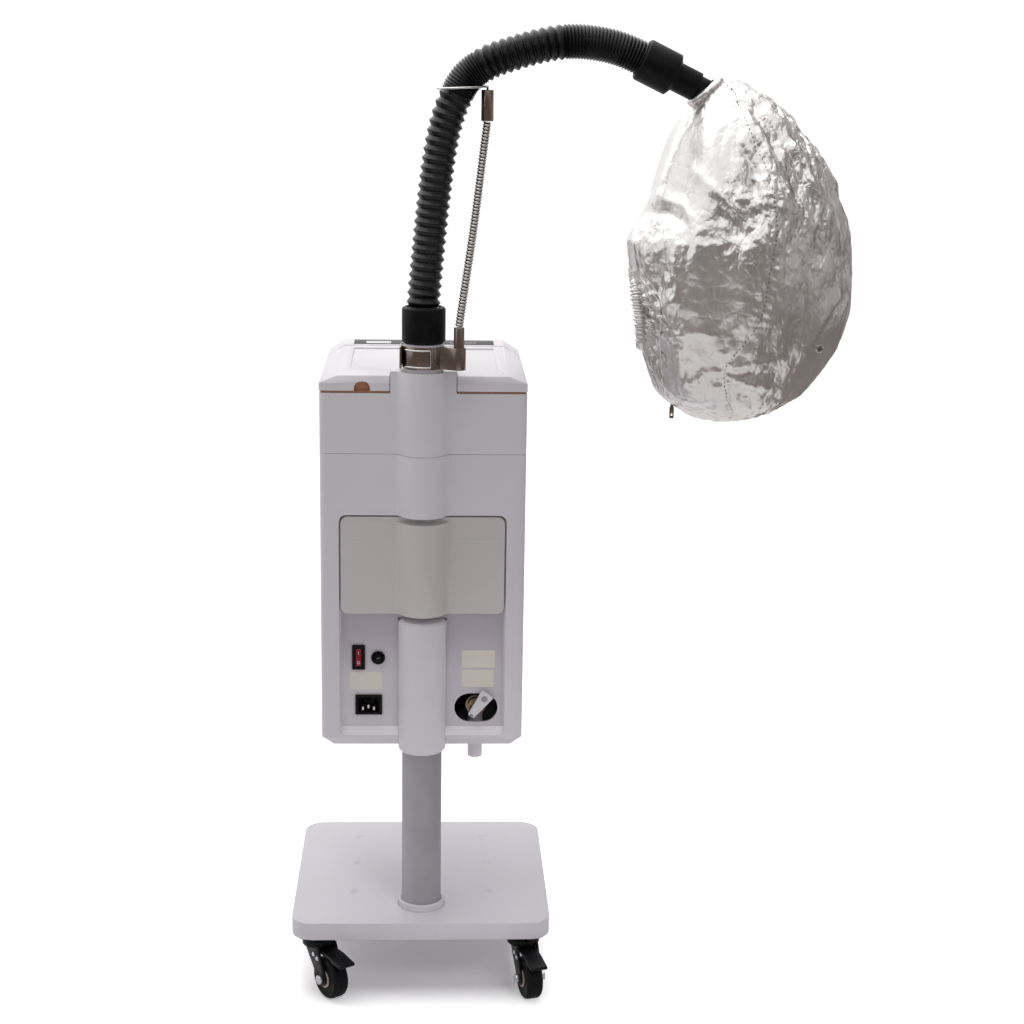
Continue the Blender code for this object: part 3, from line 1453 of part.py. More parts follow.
def make_lower_cuff():
    radius = HOSE_RADIUS + FIT + CUFF_WALL
    top = LOWER_CUFF_BOTTOM + LOWER_CUFF_HEIGHT
    seat = LOWER_CUFF_BOTTOM + LOWER_CUFF_SEAT
    spigot = OUTLET_RADIUS - OUTLET_WALL - FIT
    bore = spigot - OUTLET_WALL / 2
    socket = HOSE_RADIUS + FIT
    turned(
        "hose_lower_cuff",
        [
            (radius - CUFF_EDGE, top),
            (radius, top - CUFF_EDGE),
            (radius, LOWER_CUFF_BOTTOM + CUFF_EDGE),
            (radius - CUFF_EDGE, LOWER_CUFF_BOTTOM),
            (spigot, LOWER_CUFF_BOTTOM),
            (spigot, LOWER_CUFF_BOTTOM - SPIGOT_DEPTH),
            (bore, LOWER_CUFF_BOTTOM - SPIGOT_DEPTH),
            (bore, seat),
            (socket, seat),
            (socket, top),
        ],
        rubber,
        steps=28,
    )


def make_upper_cuff(path):
    way = hose_end_way()
    start = path[-1] - way * HOSE_IN_UPPER_CUFF
    radius = HOSE_RADIUS + FIT + CUFF_WALL - CUFF_EDGE / 2
    neck = UPPER_CUFF_NECK_DIAMETER / 2
    shoulder = UPPER_CUFF_LENGTH + UPPER_CUFF_SHOULDER
    tip = shoulder + UPPER_CUFF_NECK
    bore = INLET_SPIGOT_DIAMETER / 2 + FIT
    socket = HOSE_RADIUS + FIT
    seat = HOSE_IN_UPPER_CUFF + FIT
    turned(
        "hose_upper_cuff",
        [
            (neck - CUFF_EDGE / 2, tip),
            (neck, tip - CUFF_EDGE / 2),
            (neck, shoulder),
            (radius, UPPER_CUFF_LENGTH),
            (radius, CUFF_EDGE),
            (radius - CUFF_EDGE, 0),
            (socket, 0),
            (socket, seat),
            (bore, seat),
            (bore, tip),
        ],
        rubber,
        start,
        way,
        28,
    )
    return start + way * tip


def clear_reach(path, middle, way, room):
    # How far from the hose's middle a wire stays clear of the hose on that side.
    reach = room
    while min((middle + way * reach - point).length for point in path) < room:
        reach += RUNNING / 2
    return reach


def make_gooseneck(path):
    middle = point_along(path, lengths_along(path), LOOP_ALONG_HOSE)
    across = Matrix.Rotation(LOOP_TILT, 3, "Y") @ Vector((1, 0, 0))
    wire = LOOP_WIRE / 2
    room = HOSE_RADIUS + LOOP_GAP + wire
    outward = clear_reach(path, middle, across, room)
    inward = clear_reach(path, middle, -across, room)
    half_long = (outward + inward) / 2
    middle = middle + across * (outward - inward) / 2
    ferrule_radius = UPPER_FERRULE_DIAMETER / 2
    centre = middle + across * half_long
    ferrule_top = centre - Vector((0, 0, LOOP_RISE))
    low = ferrule_top - Vector((0, 0, UPPER_FERRULE_HEIGHT))
    foot_x, foot_y = ferrule_place()
    foot = Vector((foot_x, foot_y, CLAMP_BOTTOM + FERRULE_HEIGHT))
    lean = (low - foot).normalized()
    side = Vector((-lean.z, 0, lean.x)).normalized()
    end_gap = Vector((0, 0, FIT + GOOSENECK_DIAMETER / 2 * math.sqrt(1 - lean.z**2)))
    bend = foot.lerp(low, 0.5) - side * GOOSENECK_BOW
    neck_path = smooth_path([foot + end_gap, bend, low - end_gap], lean, lean, 9)
    tube("gooseneck", neck_path, GOOSENECK_DIAMETER / 2, steel, 2)

    bore = LOOP_WIRE + RUNNING
    turned(
        "upper_ferrule",
        [
            (ferrule_radius, 0),
            (ferrule_radius, -UPPER_FERRULE_HEIGHT),
            (0, -UPPER_FERRULE_HEIGHT),
            (0, -LOOP_TAIL - FIT),
            (bore + RUNNING, -LOOP_TAIL - FIT),
            (bore + RUNNING, 0),
        ],
        nickel,
        ferrule_top,
        steps=20,
    )
    tail = Vector((0, wire + FIT, 0))
    down = Vector((0, 0, -LOOP_RISE - LOOP_TAIL))
    points = [centre - tail + down, centre - tail]
    for i in range(1, 24):
        angle = 2 * math.pi * i / 24
        along = across * (half_long * math.cos(angle))
        points.append(middle + along + Vector((0, -room * math.sin(angle), 0)))
    points += [centre + tail, centre + tail + down]
    tube("hose_loop", points, wire, steel, 1)


# Hood

def make_hood_inlet(tip):
    way = hose_end_way()
    normal = Vector((math.cos(FLANGE_SLOPE), 0, math.sin(FLANGE_SLOPE)))
    reach = INLET_SPIGOT_SHOWING + UPPER_CUFF_NECK_DIAMETER / 2 * math.tan(HOSE_END_SLOPE - FLANGE_SLOPE)
    centre = tip + way * reach
    spigot = INLET_SPIGOT_DIAMETER / 2
    length = reach + INLET_SPIGOT_SEAT
    inlet = cylinder("hood_inlet", spigot, -length, 0, centre, way, 20, False)
    inlet.data.materials.append(black)
    half = FLANGE_THICKNESS / 2
    flange = cylinder("inlet_flange", FLANGE_DIAMETER / 2, -half, half, centre, normal, 24)
    bore = cylinder("inlet_bore", INLET_SPIGOT_BORE / 2, -length - PASS, 4 * PASS, centre, way, 16)
    join(inlet, flange)
    cut(inlet, bore)
    return centre, normal


def hood_rows(centre, normal):
    # Left point, right point and half depth of each row, from the neck to the foot.
    across = Vector((-normal.z, 0, normal.x))
    neck = centre + normal * (FLANGE_THICKNESS / 2 + FIT)
    half_neck = across * (NECK_DIAMETER / 2)
    sections = [(neck - half_neck, neck + half_neck, NECK_DIAMETER / 2)]
    for left, right, depth in HOOD_SECTIONS:
        sections.append((centre + arm_point(*left), centre + arm_point(*right), depth))
    left_path = smooth_path([s[0] for s in sections], normal, (1, 0, 0), HOOD_ROWS)
    right_path = smooth_path([s[1] for s in sections], across, (-1, 0, 0), HOOD_ROWS)
    depths = smooth_path([Vector((s[2], 0, 0)) for s in sections], (1, 0, 0), (-1, 0, 0), HOOD_ROWS)
    return left_path, right_path, depths


def hood_point(rows, share, angle, folds=True):
    left_path, right_path, depths = rows
    place = share * (len(left_path) - 1)
    i = min(int(place), len(left_path) - 2)
    t = place - i
    left = left_path[i].lerp(left_path[i + 1], t)
    right = right_path[i].lerp(right_path[i + 1], t)
    depth = depths[i].lerp(depths[i + 1], t).x
    half = (right - left) / 2
    swell = 1.0
    if folds:
        fade = math.sin(math.pi * share) ** 0.5 * (1 - FOLD_FADE_SHARE * share)
        wave = math.sin(FOLD_COUNT * angle + FOLD_DRIFT * share)
        wave += MINOR_FOLD_SHARE * math.sin(MINOR_FOLD_COUNT * angle - MINOR_FOLD_DRIFT * share)
        swell += FOLD_HEIGHT * fade * wave / max(half.length, depth)
    along = half * (math.cos(angle) * swell)
    return (left + right) / 2 + along + Vector((0, depth * math.sin(angle) * swell, 0))


def make_hood(centre, normal):
    rows = hood_rows(centre, normal)
    sections = []
    for row in range(HOOD_ROWS):
        share = (row / (HOOD_ROWS - 1)) ** ROW_POWER
        turns = [2 * math.pi * i / HOOD_COLUMNS for i in range(HOOD_COLUMNS)]
        sections.append([hood_point(rows, share, angle) for angle in turns])
    hood = loft("hood_shell", sections, foil, cap_first=False)
    skin = hood.modifiers.new("skin", "SOLIDIFY")
    skin.thickness = HOOD_THICKNESS
    skin.offset = -1.0

    middle = Vector((centre.x, FACE_OPENING_SHIFT, centre.z - FACE_OPENING_DROP))
    half_y, half_z = FACE_OPENING[0] / 2, FACE_OPENING[1] / 2
    edge = [
        (middle.y + half_y * math.cos(a), middle.z + half_z * math.sin(a))
        for a in [2 * math.pi * i / 28 for i in range(28)]
    ]
    far_left = min(point.x for point in rows[0]) - PASS
    cut(hood, prism("face_opening", [edge], far_left - 4 * PASS, middle.x, None, along_x, True))

    inset = ELASTIC_DIAMETER / 2 + RUNNING
    gathers = []
    count = 3 * ELASTIC_GATHERS
    for i in range(count):
        angle = 2 * math.pi * i / count
        y = middle.y + (half_y - inset) * math.cos(angle)
        z = middle.z + (half_z - inset) * math.sin(angle)
        x = hood_face(rows, y, z) - ELASTIC_DIAMETER / 2
        wave = ELASTIC_WAVE * math.sin(ELASTIC_GATHERS * angle)
        gathers.append(Vector((x + wave, y, z)))
    tube("hood_rim", gathers, ELASTIC_DIAMETER / 2, foil, 1, closed=True)
    make_hood_fittings(rows)


def hood_face(rows, y, z):
    # X of the hood's left side at a point of the face opening.
    best = None
    for step in range(200):
        share = step / 199
        left = hood_point(rows, share, math.pi, False)
        if best is None or abs(left.z - z) < abs(best[1].z - z):
            best = (share, left)
    share, left = best
    depth = hood_point(rows, share, math.pi / 2, False).y
    right = hood_point(rows, share, 0, False)
    half = (right.x - left.x) / 2
    return left.x + half * (1 - math.sqrt(max(0.0, 1 - (y / depth) ** 2)))


def hood_normal(rows, share, angle):
    step = 0.01
    down = hood_point(rows, share + step, angle) - hood_point(rows, share - step, angle)
    round_way = hood_point(rows, share, angle + step) - hood_point(rows, share, angle - step)
    return round_way.cross(down).normalized()


def make_hood_fittings(rows):
    place = hood_point(rows, SNAP_SHARE, SNAP_TURN)
    normal = hood_normal(rows, SNAP_SHARE, SNAP_TURN)
    if normal.y > 0:
        normal = -normal
    low = FIT
    snap = cylinder("hood_snap", SNAP_DIAMETER / 2, low, low + SNAP_THICKNESS, place, normal, 20, False)
    snap.data.materials.append(steel)

    corner = hood_point(rows, ZIP_SHARE, math.pi)
    width, height = ZIP_PULL_SIZE
    pivot = corner + Vector((-width / 2 - FIT, 0, 0))
    outline = rounded_rectangle((-width / 2, -height), (width / 2, 0), width * ZIP_CORNER_SHARE, 4)
    hole = circle((0, -height * ZIP_HOLE_DROP_SHARE), width * ZIP_HOLE_SHARE, 12)
    half = ZIP_PULL_THICKNESS / 2
    pull = prism("zip_pull", [outline, hole], -half, half, nickel, along_y)
    pull.location = pivot


make_stand()
make_casters()
make_main_housing()
make_bottom_cover()
make_pole_sleeve()
make_water_tank()
make_tank_shelf()
make_cabinet_top()
make_switch()
make_fuse()
make_inlet()
make_drain()
make_boiler()
make_outlet()
make_clamp()
make_latch()
make_lower_cuff()
hose_line = make_hose()
cuff_tip = make_upper_cuff(hose_line)
make_gooseneck(hose_line)
flange_centre, flange_normal = make_hood_inlet(cuff_tip)
make_hood(flange_centre, flange_normal)

for piece in parts.objects:
    if piece.type == "MESH":
        piece.data.shade_smooth()
        piece.data.set_sharp_from_angle(angle=math.radians(35))
print(len([piece for piece in parts.objects if piece.type != "EMPTY"]), "pieces")
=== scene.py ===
import bmesh
import bpy
import json
import math
import numpy as np
from mathutils import Matrix, Vector, noise
from mathutils.bvhtree import BVHTree


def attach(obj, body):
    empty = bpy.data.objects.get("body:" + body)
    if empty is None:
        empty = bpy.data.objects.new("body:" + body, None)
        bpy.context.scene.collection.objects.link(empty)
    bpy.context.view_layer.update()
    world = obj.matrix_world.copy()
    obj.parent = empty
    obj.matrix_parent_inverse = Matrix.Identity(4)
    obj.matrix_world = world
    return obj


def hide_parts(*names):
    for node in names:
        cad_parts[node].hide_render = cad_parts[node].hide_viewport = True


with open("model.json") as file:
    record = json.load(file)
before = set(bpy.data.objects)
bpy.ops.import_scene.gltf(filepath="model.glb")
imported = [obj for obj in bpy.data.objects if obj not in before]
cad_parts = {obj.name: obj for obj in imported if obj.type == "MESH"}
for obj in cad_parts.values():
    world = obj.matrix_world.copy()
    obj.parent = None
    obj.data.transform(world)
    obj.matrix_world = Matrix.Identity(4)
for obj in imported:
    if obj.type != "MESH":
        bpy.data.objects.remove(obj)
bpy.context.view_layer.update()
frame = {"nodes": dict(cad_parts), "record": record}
nodes = frame["nodes"]
mm = 0.001
bodyOf = {node: body for body, group in frame["record"]["behaviour"]["bodies"].items() for node in group}
scene = bpy.context.scene
scene.view_settings.view_transform = "Standard"
print("frame loaded:", len(nodes), "nodes")


# node graphs, for finishes and for shapes

class Value:
    def __init__(self, graph, socket):
        self.graph, self.socket = graph, socket

    def maths(self, operation, other=0.0, swapped=False):
        pair = (other, self) if swapped else (self, other)
        return self.graph.node("ShaderNodeMath", {"operation": operation}, {0: pair[0], 1: pair[1]})

    def __add__(self, other):
        return self.maths("ADD", other)

    def __sub__(self, other):
        return self.maths("SUBTRACT", other)

    def __rsub__(self, other):
        return self.maths("SUBTRACT", other, True)

    def __mul__(self, other):
        return self.maths("MULTIPLY", other)

    def __gt__(self, other):
        return self.maths("GREATER_THAN", other)

    def __lt__(self, other):
        return self.maths("LESS_THAN", other)

    def __abs__(self):
        return self.maths("ABSOLUTE")

    def fraction(self):
        return self.maths("FRACT")

    def power(self, other):
        return self.maths("POWER", other)

    def clamped(self, low, high):
        return self.maths("MAXIMUM", low).maths("MINIMUM", high)

    __radd__ = __add__


class Graph:
    def __init__(self, tree):
        self.tree = tree

    def node(self, kind, settings=None, sockets=None, output=0):
        made = self.tree.nodes.new(kind)
        for key, value in (settings or {}).items():
            setattr(made, key, value)
        for key, value in (sockets or {}).items():
            if isinstance(value, Value):
                self.tree.links.new(value.socket, made.inputs[key])
            else:
                made.inputs[key].default_value = value
        return Value(self, made.outputs[output])

    def rays(self, kind):
        return self.node("ShaderNodeLightPath", output="Is %s Ray" % kind)


class Finish(Graph):
    def __init__(self, name, colour, roughness, metallic=0.0, **constants):
        self.material = bpy.data.materials.new(name)
        self.material.use_nodes = True
        super().__init__(self.material.node_tree)
        self.shader = self.tree.nodes["Principled BSDF"]
        constants.update({"Base Color": (*colour, 1), "Roughness": roughness, "Metallic": metallic})
        for key, value in constants.items():
            self.shader.inputs[key.replace("_", " ")].default_value = value
        self.place = self.node("ShaderNodeTexCoord", output="Object")

    def feed(self, socket, value):
        self.tree.links.new(value.socket, self.shader.inputs[socket])

    def roughen(self, roughness, *layers):
        # each layer: a noise and its share
        self.feed("Roughness", sum(((layer - 0.5) * share for layer, share in layers), roughness))

    def noise(self, scale, detail=2.0, rough=0.5, place=None):
        sockets = {"Vector": place or self.place, "Scale": scale, "Detail": detail, "Roughness": rough}
        return self.node("ShaderNodeTexNoise", {}, sockets)

    def stretched(self, x, y, z):
        return self.node("ShaderNodeMapping", {}, {"Vector": self.place, "Scale": (x, y, z)})

    def mix(self, first, second, factor):
        sockets = {0: factor}
        for key, colour in ((6, first), (7, second)):
            sockets[key] = colour if isinstance(colour, Value) else (*colour, 1)
        return self.node("ShaderNodeMix", {"data_type": "RGBA", "clamp_factor": True}, sockets, 2)

    def bump(self, height, strength, distance, under=None):
        sockets = {"Height": height, "Strength": strength, "Distance": distance}
        if under:
            sockets["Normal"] = under
        return self.node("ShaderNodeBump", {}, sockets)

    def part(self, axis):
        return self.node("ShaderNodeSeparateXYZ", {}, {0: self.place}, axis)

    def noisyPlace(self, reach, scale):
        drift = self.node("ShaderNodeTexNoise", {}, {"Vector": self.place, "Scale": scale, "Detail": 2.0}, 1)
        push = self.node("ShaderNodeVectorMath", {"operation": "SCALE"}, {0: drift, "Scale": reach})
        return self.node("ShaderNodeVectorMath", {"operation": "ADD"}, {0: self.place, 1: push})

    def attribute(self, name):
        return self.node("ShaderNodeAttribute", {"attribute_name": name}, output="Fac")


class ShapeTree(Graph):
    kinds = {"float": "NodeSocketFloat", "int": "NodeSocketInt", "object": "NodeSocketObject",
             "material": "NodeSocketMaterial"}

    def __init__(self, name, **inputs):
        super().__init__(bpy.data.node_groups.new(name, "GeometryNodeTree"))
        sockets = self.tree.interface
        sockets.new_socket("Shape", in_out="INPUT", socket_type="NodeSocketGeometry")
        for label, kind in inputs.items():
            sockets.new_socket(label, in_out="INPUT", socket_type=self.kinds[kind])
        sockets.new_socket("Shape", in_out="OUTPUT", socket_type="NodeSocketGeometry")
        self.entry = self.tree.nodes.new("NodeGroupInput")
        self.exit = self.tree.nodes.new("NodeGroupOutput")

    def given(self, label):
        return Value(self, self.entry.outputs[label])

    def named(self, name, kind="FLOAT"):
        return self.node("GeometryNodeInputNamedAttribute", {"data_type": kind}, {"Name": name})

    def close(self, shape):
        self.tree.links.new(shape.socket, self.exit.inputs[0])

    def grow(self, source, **values):
        modifier = source.modifiers.new("grow", "NODES")
        modifier.node_group = self.tree
        for item in self.tree.interface.items_tree:
            if item.in_out == "INPUT" and item.name in values:
                modifier[item.identifier] = values[item.name]
        mesh = asMesh(source)
        bpy.data.objects.remove(source)
        return mesh


def asMesh(thing):
    bpy.context.view_layer.update()
    graph = bpy.context.evaluated_depsgraph_get()
    return bpy.data.meshes.new_from_object(thing.evaluated_get(graph), depsgraph=graph)


# small helpers for pieces

def linked(name, data):
    thing = bpy.data.objects.new(name, data)
    scene.collection.objects.link(thing)
    return thing


def meshFrom(name, corners, faces, edges=()):
    mesh = bpy.data.meshes.new(name)
    mesh.from_pydata([tuple(c) for c in corners], edges, faces)
    mesh.update()
    return mesh


def remade(mesh, merge=0.0, fill=False):
    # all faces turned outward, after merging corners and closing holes where asked
    work = bmesh.new()
    work.from_mesh(mesh)
    if merge:
        bmesh.ops.remove_doubles(work, verts=work.verts, dist=merge)
    if fill:
        bmesh.ops.holes_fill(work, edges=[e for e in work.edges if e.is_boundary], sides=0)
    bmesh.ops.recalc_face_normals(work, faces=work.faces)
    work.to_mesh(mesh)
    work.free()
    return mesh


def modified(mesh, kind, **settings):
    work = linked("work", mesh)
    modifier = work.modifiers.new("change", kind)
    for key, value in settings.items():
        setattr(modifier, key, value)
    result = asMesh(work)
    bpy.data.objects.remove(work)
    return result


def settled(name, mesh, finish, body, stands=(), angle=34):
    # finish: its name in finishes
    count = len(mesh.polygons)
    mesh.polygons.foreach_set("use_smooth", [True] * count)
    mesh.set_sharp_from_angle(angle=math.radians(angle))
    mesh.materials.clear()
    mesh.materials.append(finishes[finish].material)
    mesh.polygons.foreach_set("material_index", [0] * count)
    piece = linked(name, mesh)
    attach(piece, body)
    if stands:
        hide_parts(*stands)
    return piece


def cornersOf(node):
    return np.array([v.co[:] for v in nodes[node].data.vertices])


copies = {"merge": 2e-6, "flat": math.radians(0.6)}


def copied(node):
    work = bmesh.new()
    work.from_mesh(nodes[node].data)
    bmesh.ops.remove_doubles(work, verts=work.verts, dist=copies["merge"])
    bmesh.ops.dissolve_limit(work, angle_limit=copies["flat"], verts=work.verts, edges=work.edges)
    mesh = bpy.data.meshes.new(node)
    work.to_mesh(mesh)
    work.free()
    return mesh


def dressed(name, node, finish, width, steps, angle=30, form=None, firm=False):
    # a node's own shape with rounded edges; firm keeps the shading of its flat faces flat
    mesh = copied(node)
    if form:
        mesh = form(mesh)
    mesh = modified(mesh, "BEVEL", width=width, segments=steps, limit_method="ANGLE",
                    angle_limit=math.radians(angle), miter_outer="MITER_ARC", harden_normals=firm)
    return settled(name, mesh, finish, bodyOf[node], [node])


def joined(meshes):
    work = bmesh.new()
    for mesh in meshes:
        work.from_mesh(mesh)
    result = bpy.data.meshes.new("joined")
    work.to_mesh(result)
    work.free()
    return result


def gridFaces(rows, columns, roundRows=True, roundColumns=True):
    # quads between the corners of a grid, which may close on itself along its rows and its columns
    faces = []
    for k in range(rows if roundRows else rows - 1):
        for i in range(columns if roundColumns else columns - 1):
            here, ahead, beside = k * columns, (k + 1) % rows * columns, (i + 1) % columns
            faces.append((here + i, ahead + i, ahead + beside, here + beside))
    return faces


def turnedMesh(profile, centre, way, steps, closed=True):
    # profile: (radius, height) from the foot up, along way from centre
    turn = Vector((0, 0, 1)).rotation_difference(Vector(way).normalized()).to_matrix()
    corners = []
    for k in range(steps):
        a = math.tau * k / steps
        for radius, height in profile:
            corners.append(turn @ Vector((radius * math.cos(a), radius * math.sin(a), height)) + Vector(centre))
    return remade(meshFrom("turned", corners, gridFaces(steps, len(profile), roundColumns=False)), 1e-7, closed)


def outlineRound(low, high, radius, steps=6):
    corners = []
    for cx, cy, start in ((high[0] - radius, high[1] - radius, 0), (low[0] + radius, high[1] - radius, 90),
                          (low[0] + radius, low[1] + radius, 180), (high[0] - radius, low[1] + radius, 270)):
        for k in range(steps + 1):
            a = math.radians(start + 90 * k / steps)
            corners.append((cx + radius * math.cos(a), cy + radius * math.sin(a)))
    return corners


def roundBox(width, height, radius, steps=6):
    return outlineRound((-width / 2, -height / 2), (width / 2, height / 2), radius, steps)


def plateMesh(outline, thickness, place):
    # place: a function from (across, up, out) to a point
    n = len(outline)
    corners = [place(x, y, 0.0) for x, y in outline] + [place(x, y, thickness) for x, y in outline]
    faces = [tuple(range(n)), tuple(range(n, 2 * n))]
    faces += [(k, (k + 1) % n, n + (k + 1) % n, n + k) for k in range(n)]
    return remade(meshFrom("plate", corners, faces))


def smoothPath(points, startWay, endWay, perSpan):
    points = [Vector(p) for p in points]
    before = points[1] - 2 * (points[1] - points[0]).length * Vector(startWay)
    after = points[-2] + 2 * (points[-1] - points[-2]).length * Vector(endWay)
    padded = [before] + points + [after]
    path = []
    for i in range(1, len(padded) - 2):
        a, b, c, d = padded[i - 1:i + 3]
        for k in range(perSpan):
            t = k / perSpan
            path.append((2 * b + (c - a) * t + (2 * a - 5 * b + 4 * c - d) * t ** 2
                         + (3 * b - 3 * c + d - a) * t ** 3) / 2)
    return path + [points[-1]]


def evenPath(path, step):
    path = np.array([p[:] for p in path])
    run = np.concatenate([[0], np.cumsum(np.linalg.norm(np.diff(path, axis=0), axis=1))])
    count = max(2, int(round(run[-1] / step)) + 1)
    at = np.linspace(0, run[-1], count)
    return np.stack([np.interp(at, run, path[:, k]) for k in range(3)], axis=1), at


def averaged(values, width):
    return np.convolve(np.pad(values, width // 2, mode="edge"), np.ones(width) / width, "valid")


# camera, light and floor

shot = {"eye": (0.0070, -2.1056, 1.0820), "pitch": 13.62, "yaw": 2.54, "roll": 0.896, "focal": 1922.0,
        "frame": 1024.0, "sensor": 36.0, "clip": (0.05, 60)}


def cameraPlace():
    pitch, yaw, roll = (math.radians(shot[k]) for k in ("pitch", "yaw", "roll"))
    ahead = Vector((math.sin(yaw) * math.cos(pitch), math.cos(yaw) * math.cos(pitch), -math.sin(pitch)))
    right = ahead.cross(Vector((0, 0, 1))).normalized()
    tilted = right * math.cos(roll) + right.cross(ahead) * math.sin(roll)
    place = Matrix((tilted, tilted.cross(ahead), -ahead)).transposed().to_4x4()
    place.translation = shot["eye"]
    return place


camera = linked("camera", bpy.data.cameras.new("camera"))
camera.matrix_world = cameraPlace()
camera.data.sensor_width = shot["sensor"]
camera.data.lens = shot["focal"] / shot["frame"] * shot["sensor"]
camera.data.clip_start, camera.data.clip_end = shot["clip"]
scene.camera = camera


def sightLine(x, y):
    half = shot["frame"] / 2
    way = Vector(((x - half) / shot["focal"], (half - y) / shot["focal"], -1))
    return Vector(shot["eye"]), (cameraPlace().to_3x3() @ way).normalized()


studio = {"ambient": 0.35, "tint": (1.0, 0.95, 0.995, 1), "white": 1.12, "lampTint": (1.0, 0.985, 0.97),
          # place, target, size, power, and whether reflections show it
          "lamps": {"topLamp": ((-0.6, 1.1, 3.1), (0.1, 0.1, 0.0), 4.2, 86.0, True),
                    "sideLamp": ((-2.6, -1.6, 1.9), (0.1, 0.1, 0.6), 1.6, 3.0, False)},
          "beam": {"energy": 7.0, "spot_size": math.radians(34), "spot_blend": 1.0, "shadow_soft_size": 0.20},
          "beamPlace": (0.30, -0.55, 0.62), "beamTarget": (0.05, -0.01, 0.09)}


def lampAt(name, kind, place, target, mirrored, **settings):
    lamp = bpy.data.lights.new(name, kind)
    for key, value in settings.items():
        setattr(lamp, key, value)
    holder = linked(name, lamp)
    holder.location, holder.visible_glossy = place, mirrored
    holder.rotation_euler = (Vector(target) - Vector(place)).to_track_quat("-Z", "Y").to_euler()


def makeLight():
    scene.world = bpy.data.worlds.new("studio")
    scene.world.use_nodes = True
    sky = Graph(scene.world.node_tree)
    sky.tree.nodes.clear()
    # the camera and reflections see white, and the light that it gives is dimmer
    seen = sky.rays("Camera").maths("MAXIMUM", sky.rays("Glossy")).maths("MAXIMUM", sky.rays("Transmission"))
    soft = sky.node("ShaderNodeBackground", {}, {"Color": studio["tint"], "Strength": studio["ambient"]})
    white = sky.node("ShaderNodeBackground", {}, {"Color": (1, 1, 1, 1), "Strength": studio["white"]})
    mixed = sky.node("ShaderNodeMixShader", {}, {0: seen, 1: soft, 2: white})
    sky.tree.links.new(mixed.socket, sky.tree.nodes.new("ShaderNodeOutputWorld").inputs[0])
    for name, (place, target, size, power, mirrored) in studio["lamps"].items():
        lampAt(name, "AREA", place, target, mirrored, size=size, energy=power, color=studio["lampTint"])
    # a low beam on the base alone, which is lightest toward the camera
    lampAt("baseLamp", "SPOT", studio["beamPlace"], studio["beamTarget"], False, **studio["beam"])


paper = {"half": 14, "shade": 0.90, "glow": (0.09, 0.66), "reach": 0.060, "gloss": 0.12, "rough": 0.9,
         "shadow": ((0.0, 0.105), (0.12, 0.145))}  # middle and half, along X and along Y


def makeFloor():
    half = paper["half"]
    corners = [(-half, -half, 0), (half, -half, 0), (half, half, 0), (-half, half, 0)]
    floor = linked("floor", meshFrom("floor", corners, [(0, 1, 2, 3)]))
    finish = Finish("paperFloor", (paper["shade"],) * 3, paper["rough"], Emission_Strength=1.0)
    # as in the photograph, the shadow stays under the base and the floor beyond it is plain white
    x, y = ((abs(finish.part(axis) - middle) - reach).maths("MAXIMUM", 0.0)
            for axis, (middle, reach) in enumerate(paper["shadow"]))
    dim, bright = paper["glow"]
    glow = (x * x + y * y).power(0.5) * ((bright - dim) / paper["reach"]) + dim
    glow = glow.maths("MINIMUM", bright)
    finish.feed("Alpha", 1.0 - finish.node("ShaderNodeNewGeometry", output="Backfacing"))  # open to views from below
    finish.feed("Emission Color", finish.rays("Camera") * glow + finish.rays("Glossy") * paper["gloss"])
    floor.data.materials.append(finish.material)


cards = {"shade": (0.30, 0.272, 0.25), "rough": 0.9,
         "corners": {"frontCard": [(-4.5, -1.5, 0.02), (1.7, -1.5, 0.02), (1.7, -4.4, 2.7), (-4.5, -4.4, 2.7)],
                     "rightCard": [(0.74, -1.6, 0.02), (3.4, -1.6, 0.02), (3.4, 2.6, 0.02), (0.74, 2.6, 0.02)],
                     "leftCard": [(-4.5, -1.6, 0.02), (-0.8, -1.6, 0.02), (-0.8, 0.7, 0.02), (-4.5, 0.7, 0.02)]},
         # strips round a middle: first angle, width, gap and count, then distance and height of foot and head
         "strips": (27, 15, 5, 6), "middle": 0.35, "foot": (3.3, 0.02), "head": (2.4, 3.6)}


def makeCards():
    # grey cards in front, at both sides and in strips at the right give metal its darker side in reflections
    grey = Finish("cardGrey", cards["shade"], cards["rough"])
    corners = dict(cards["corners"])
    first, wide, gap, count = cards["strips"]
    for k in range(count):
        start = first + (wide + gap) * k
        ways = [Vector((math.sin(a), -math.cos(a), 0)) for a in (math.radians(start), math.radians(start + wide))]
        foot, head = ([Vector((cards["middle"], 0, height)) + way * far for way in ways]
                      for far, height in (cards["foot"], cards["head"]))
        corners["stripCard%d" % k] = foot + head[::-1]
    for name, points in corners.items():
        card = linked(name, meshFrom(name, points, [(0, 1, 2, 3)]))
        card.data.materials.append(grey.material)
        card.visible_camera = card.visible_diffuse = card.visible_shadow = card.visible_transmission = False


makeLight()
makeFloor()
makeCards()
print("camera and studio ready")


# finishes

recess = {"depth": (0.0008, 0.004), "half": 0.0930, "height": (0.304, 0.575), "fade": (0.378, 0.430),
          "least": (0.10, 0.50), "lean": (0.28, 2.4), "tint": (0.70, 0.66, 0.70)}


def shadeOfRecess(finish):
    # the tank's shade on the recessed rear panel, fading toward its foot, more so at the left
    x, y, z = (finish.part(k) for k in range(3))
    (near, deep), (low, high), (foot, full) = (recess[key] for key in ("depth", "height", "fade"))
    inside = (y > near) * (y < deep) * (abs(x) < recess["half"]) * (z > low) * (z < high)
    fade = ((z - foot) * (1 / (full - foot))).clamped(0.0, 1.0)
    middle, slope = recess["lean"]
    least = (x * slope + middle).clamped(*recess["least"])
    return inside * (least + (1.0 - least) * fade)


def tints(colour, shares):
    return [tuple(min(1, c * share) for c in colour) for share in shares]


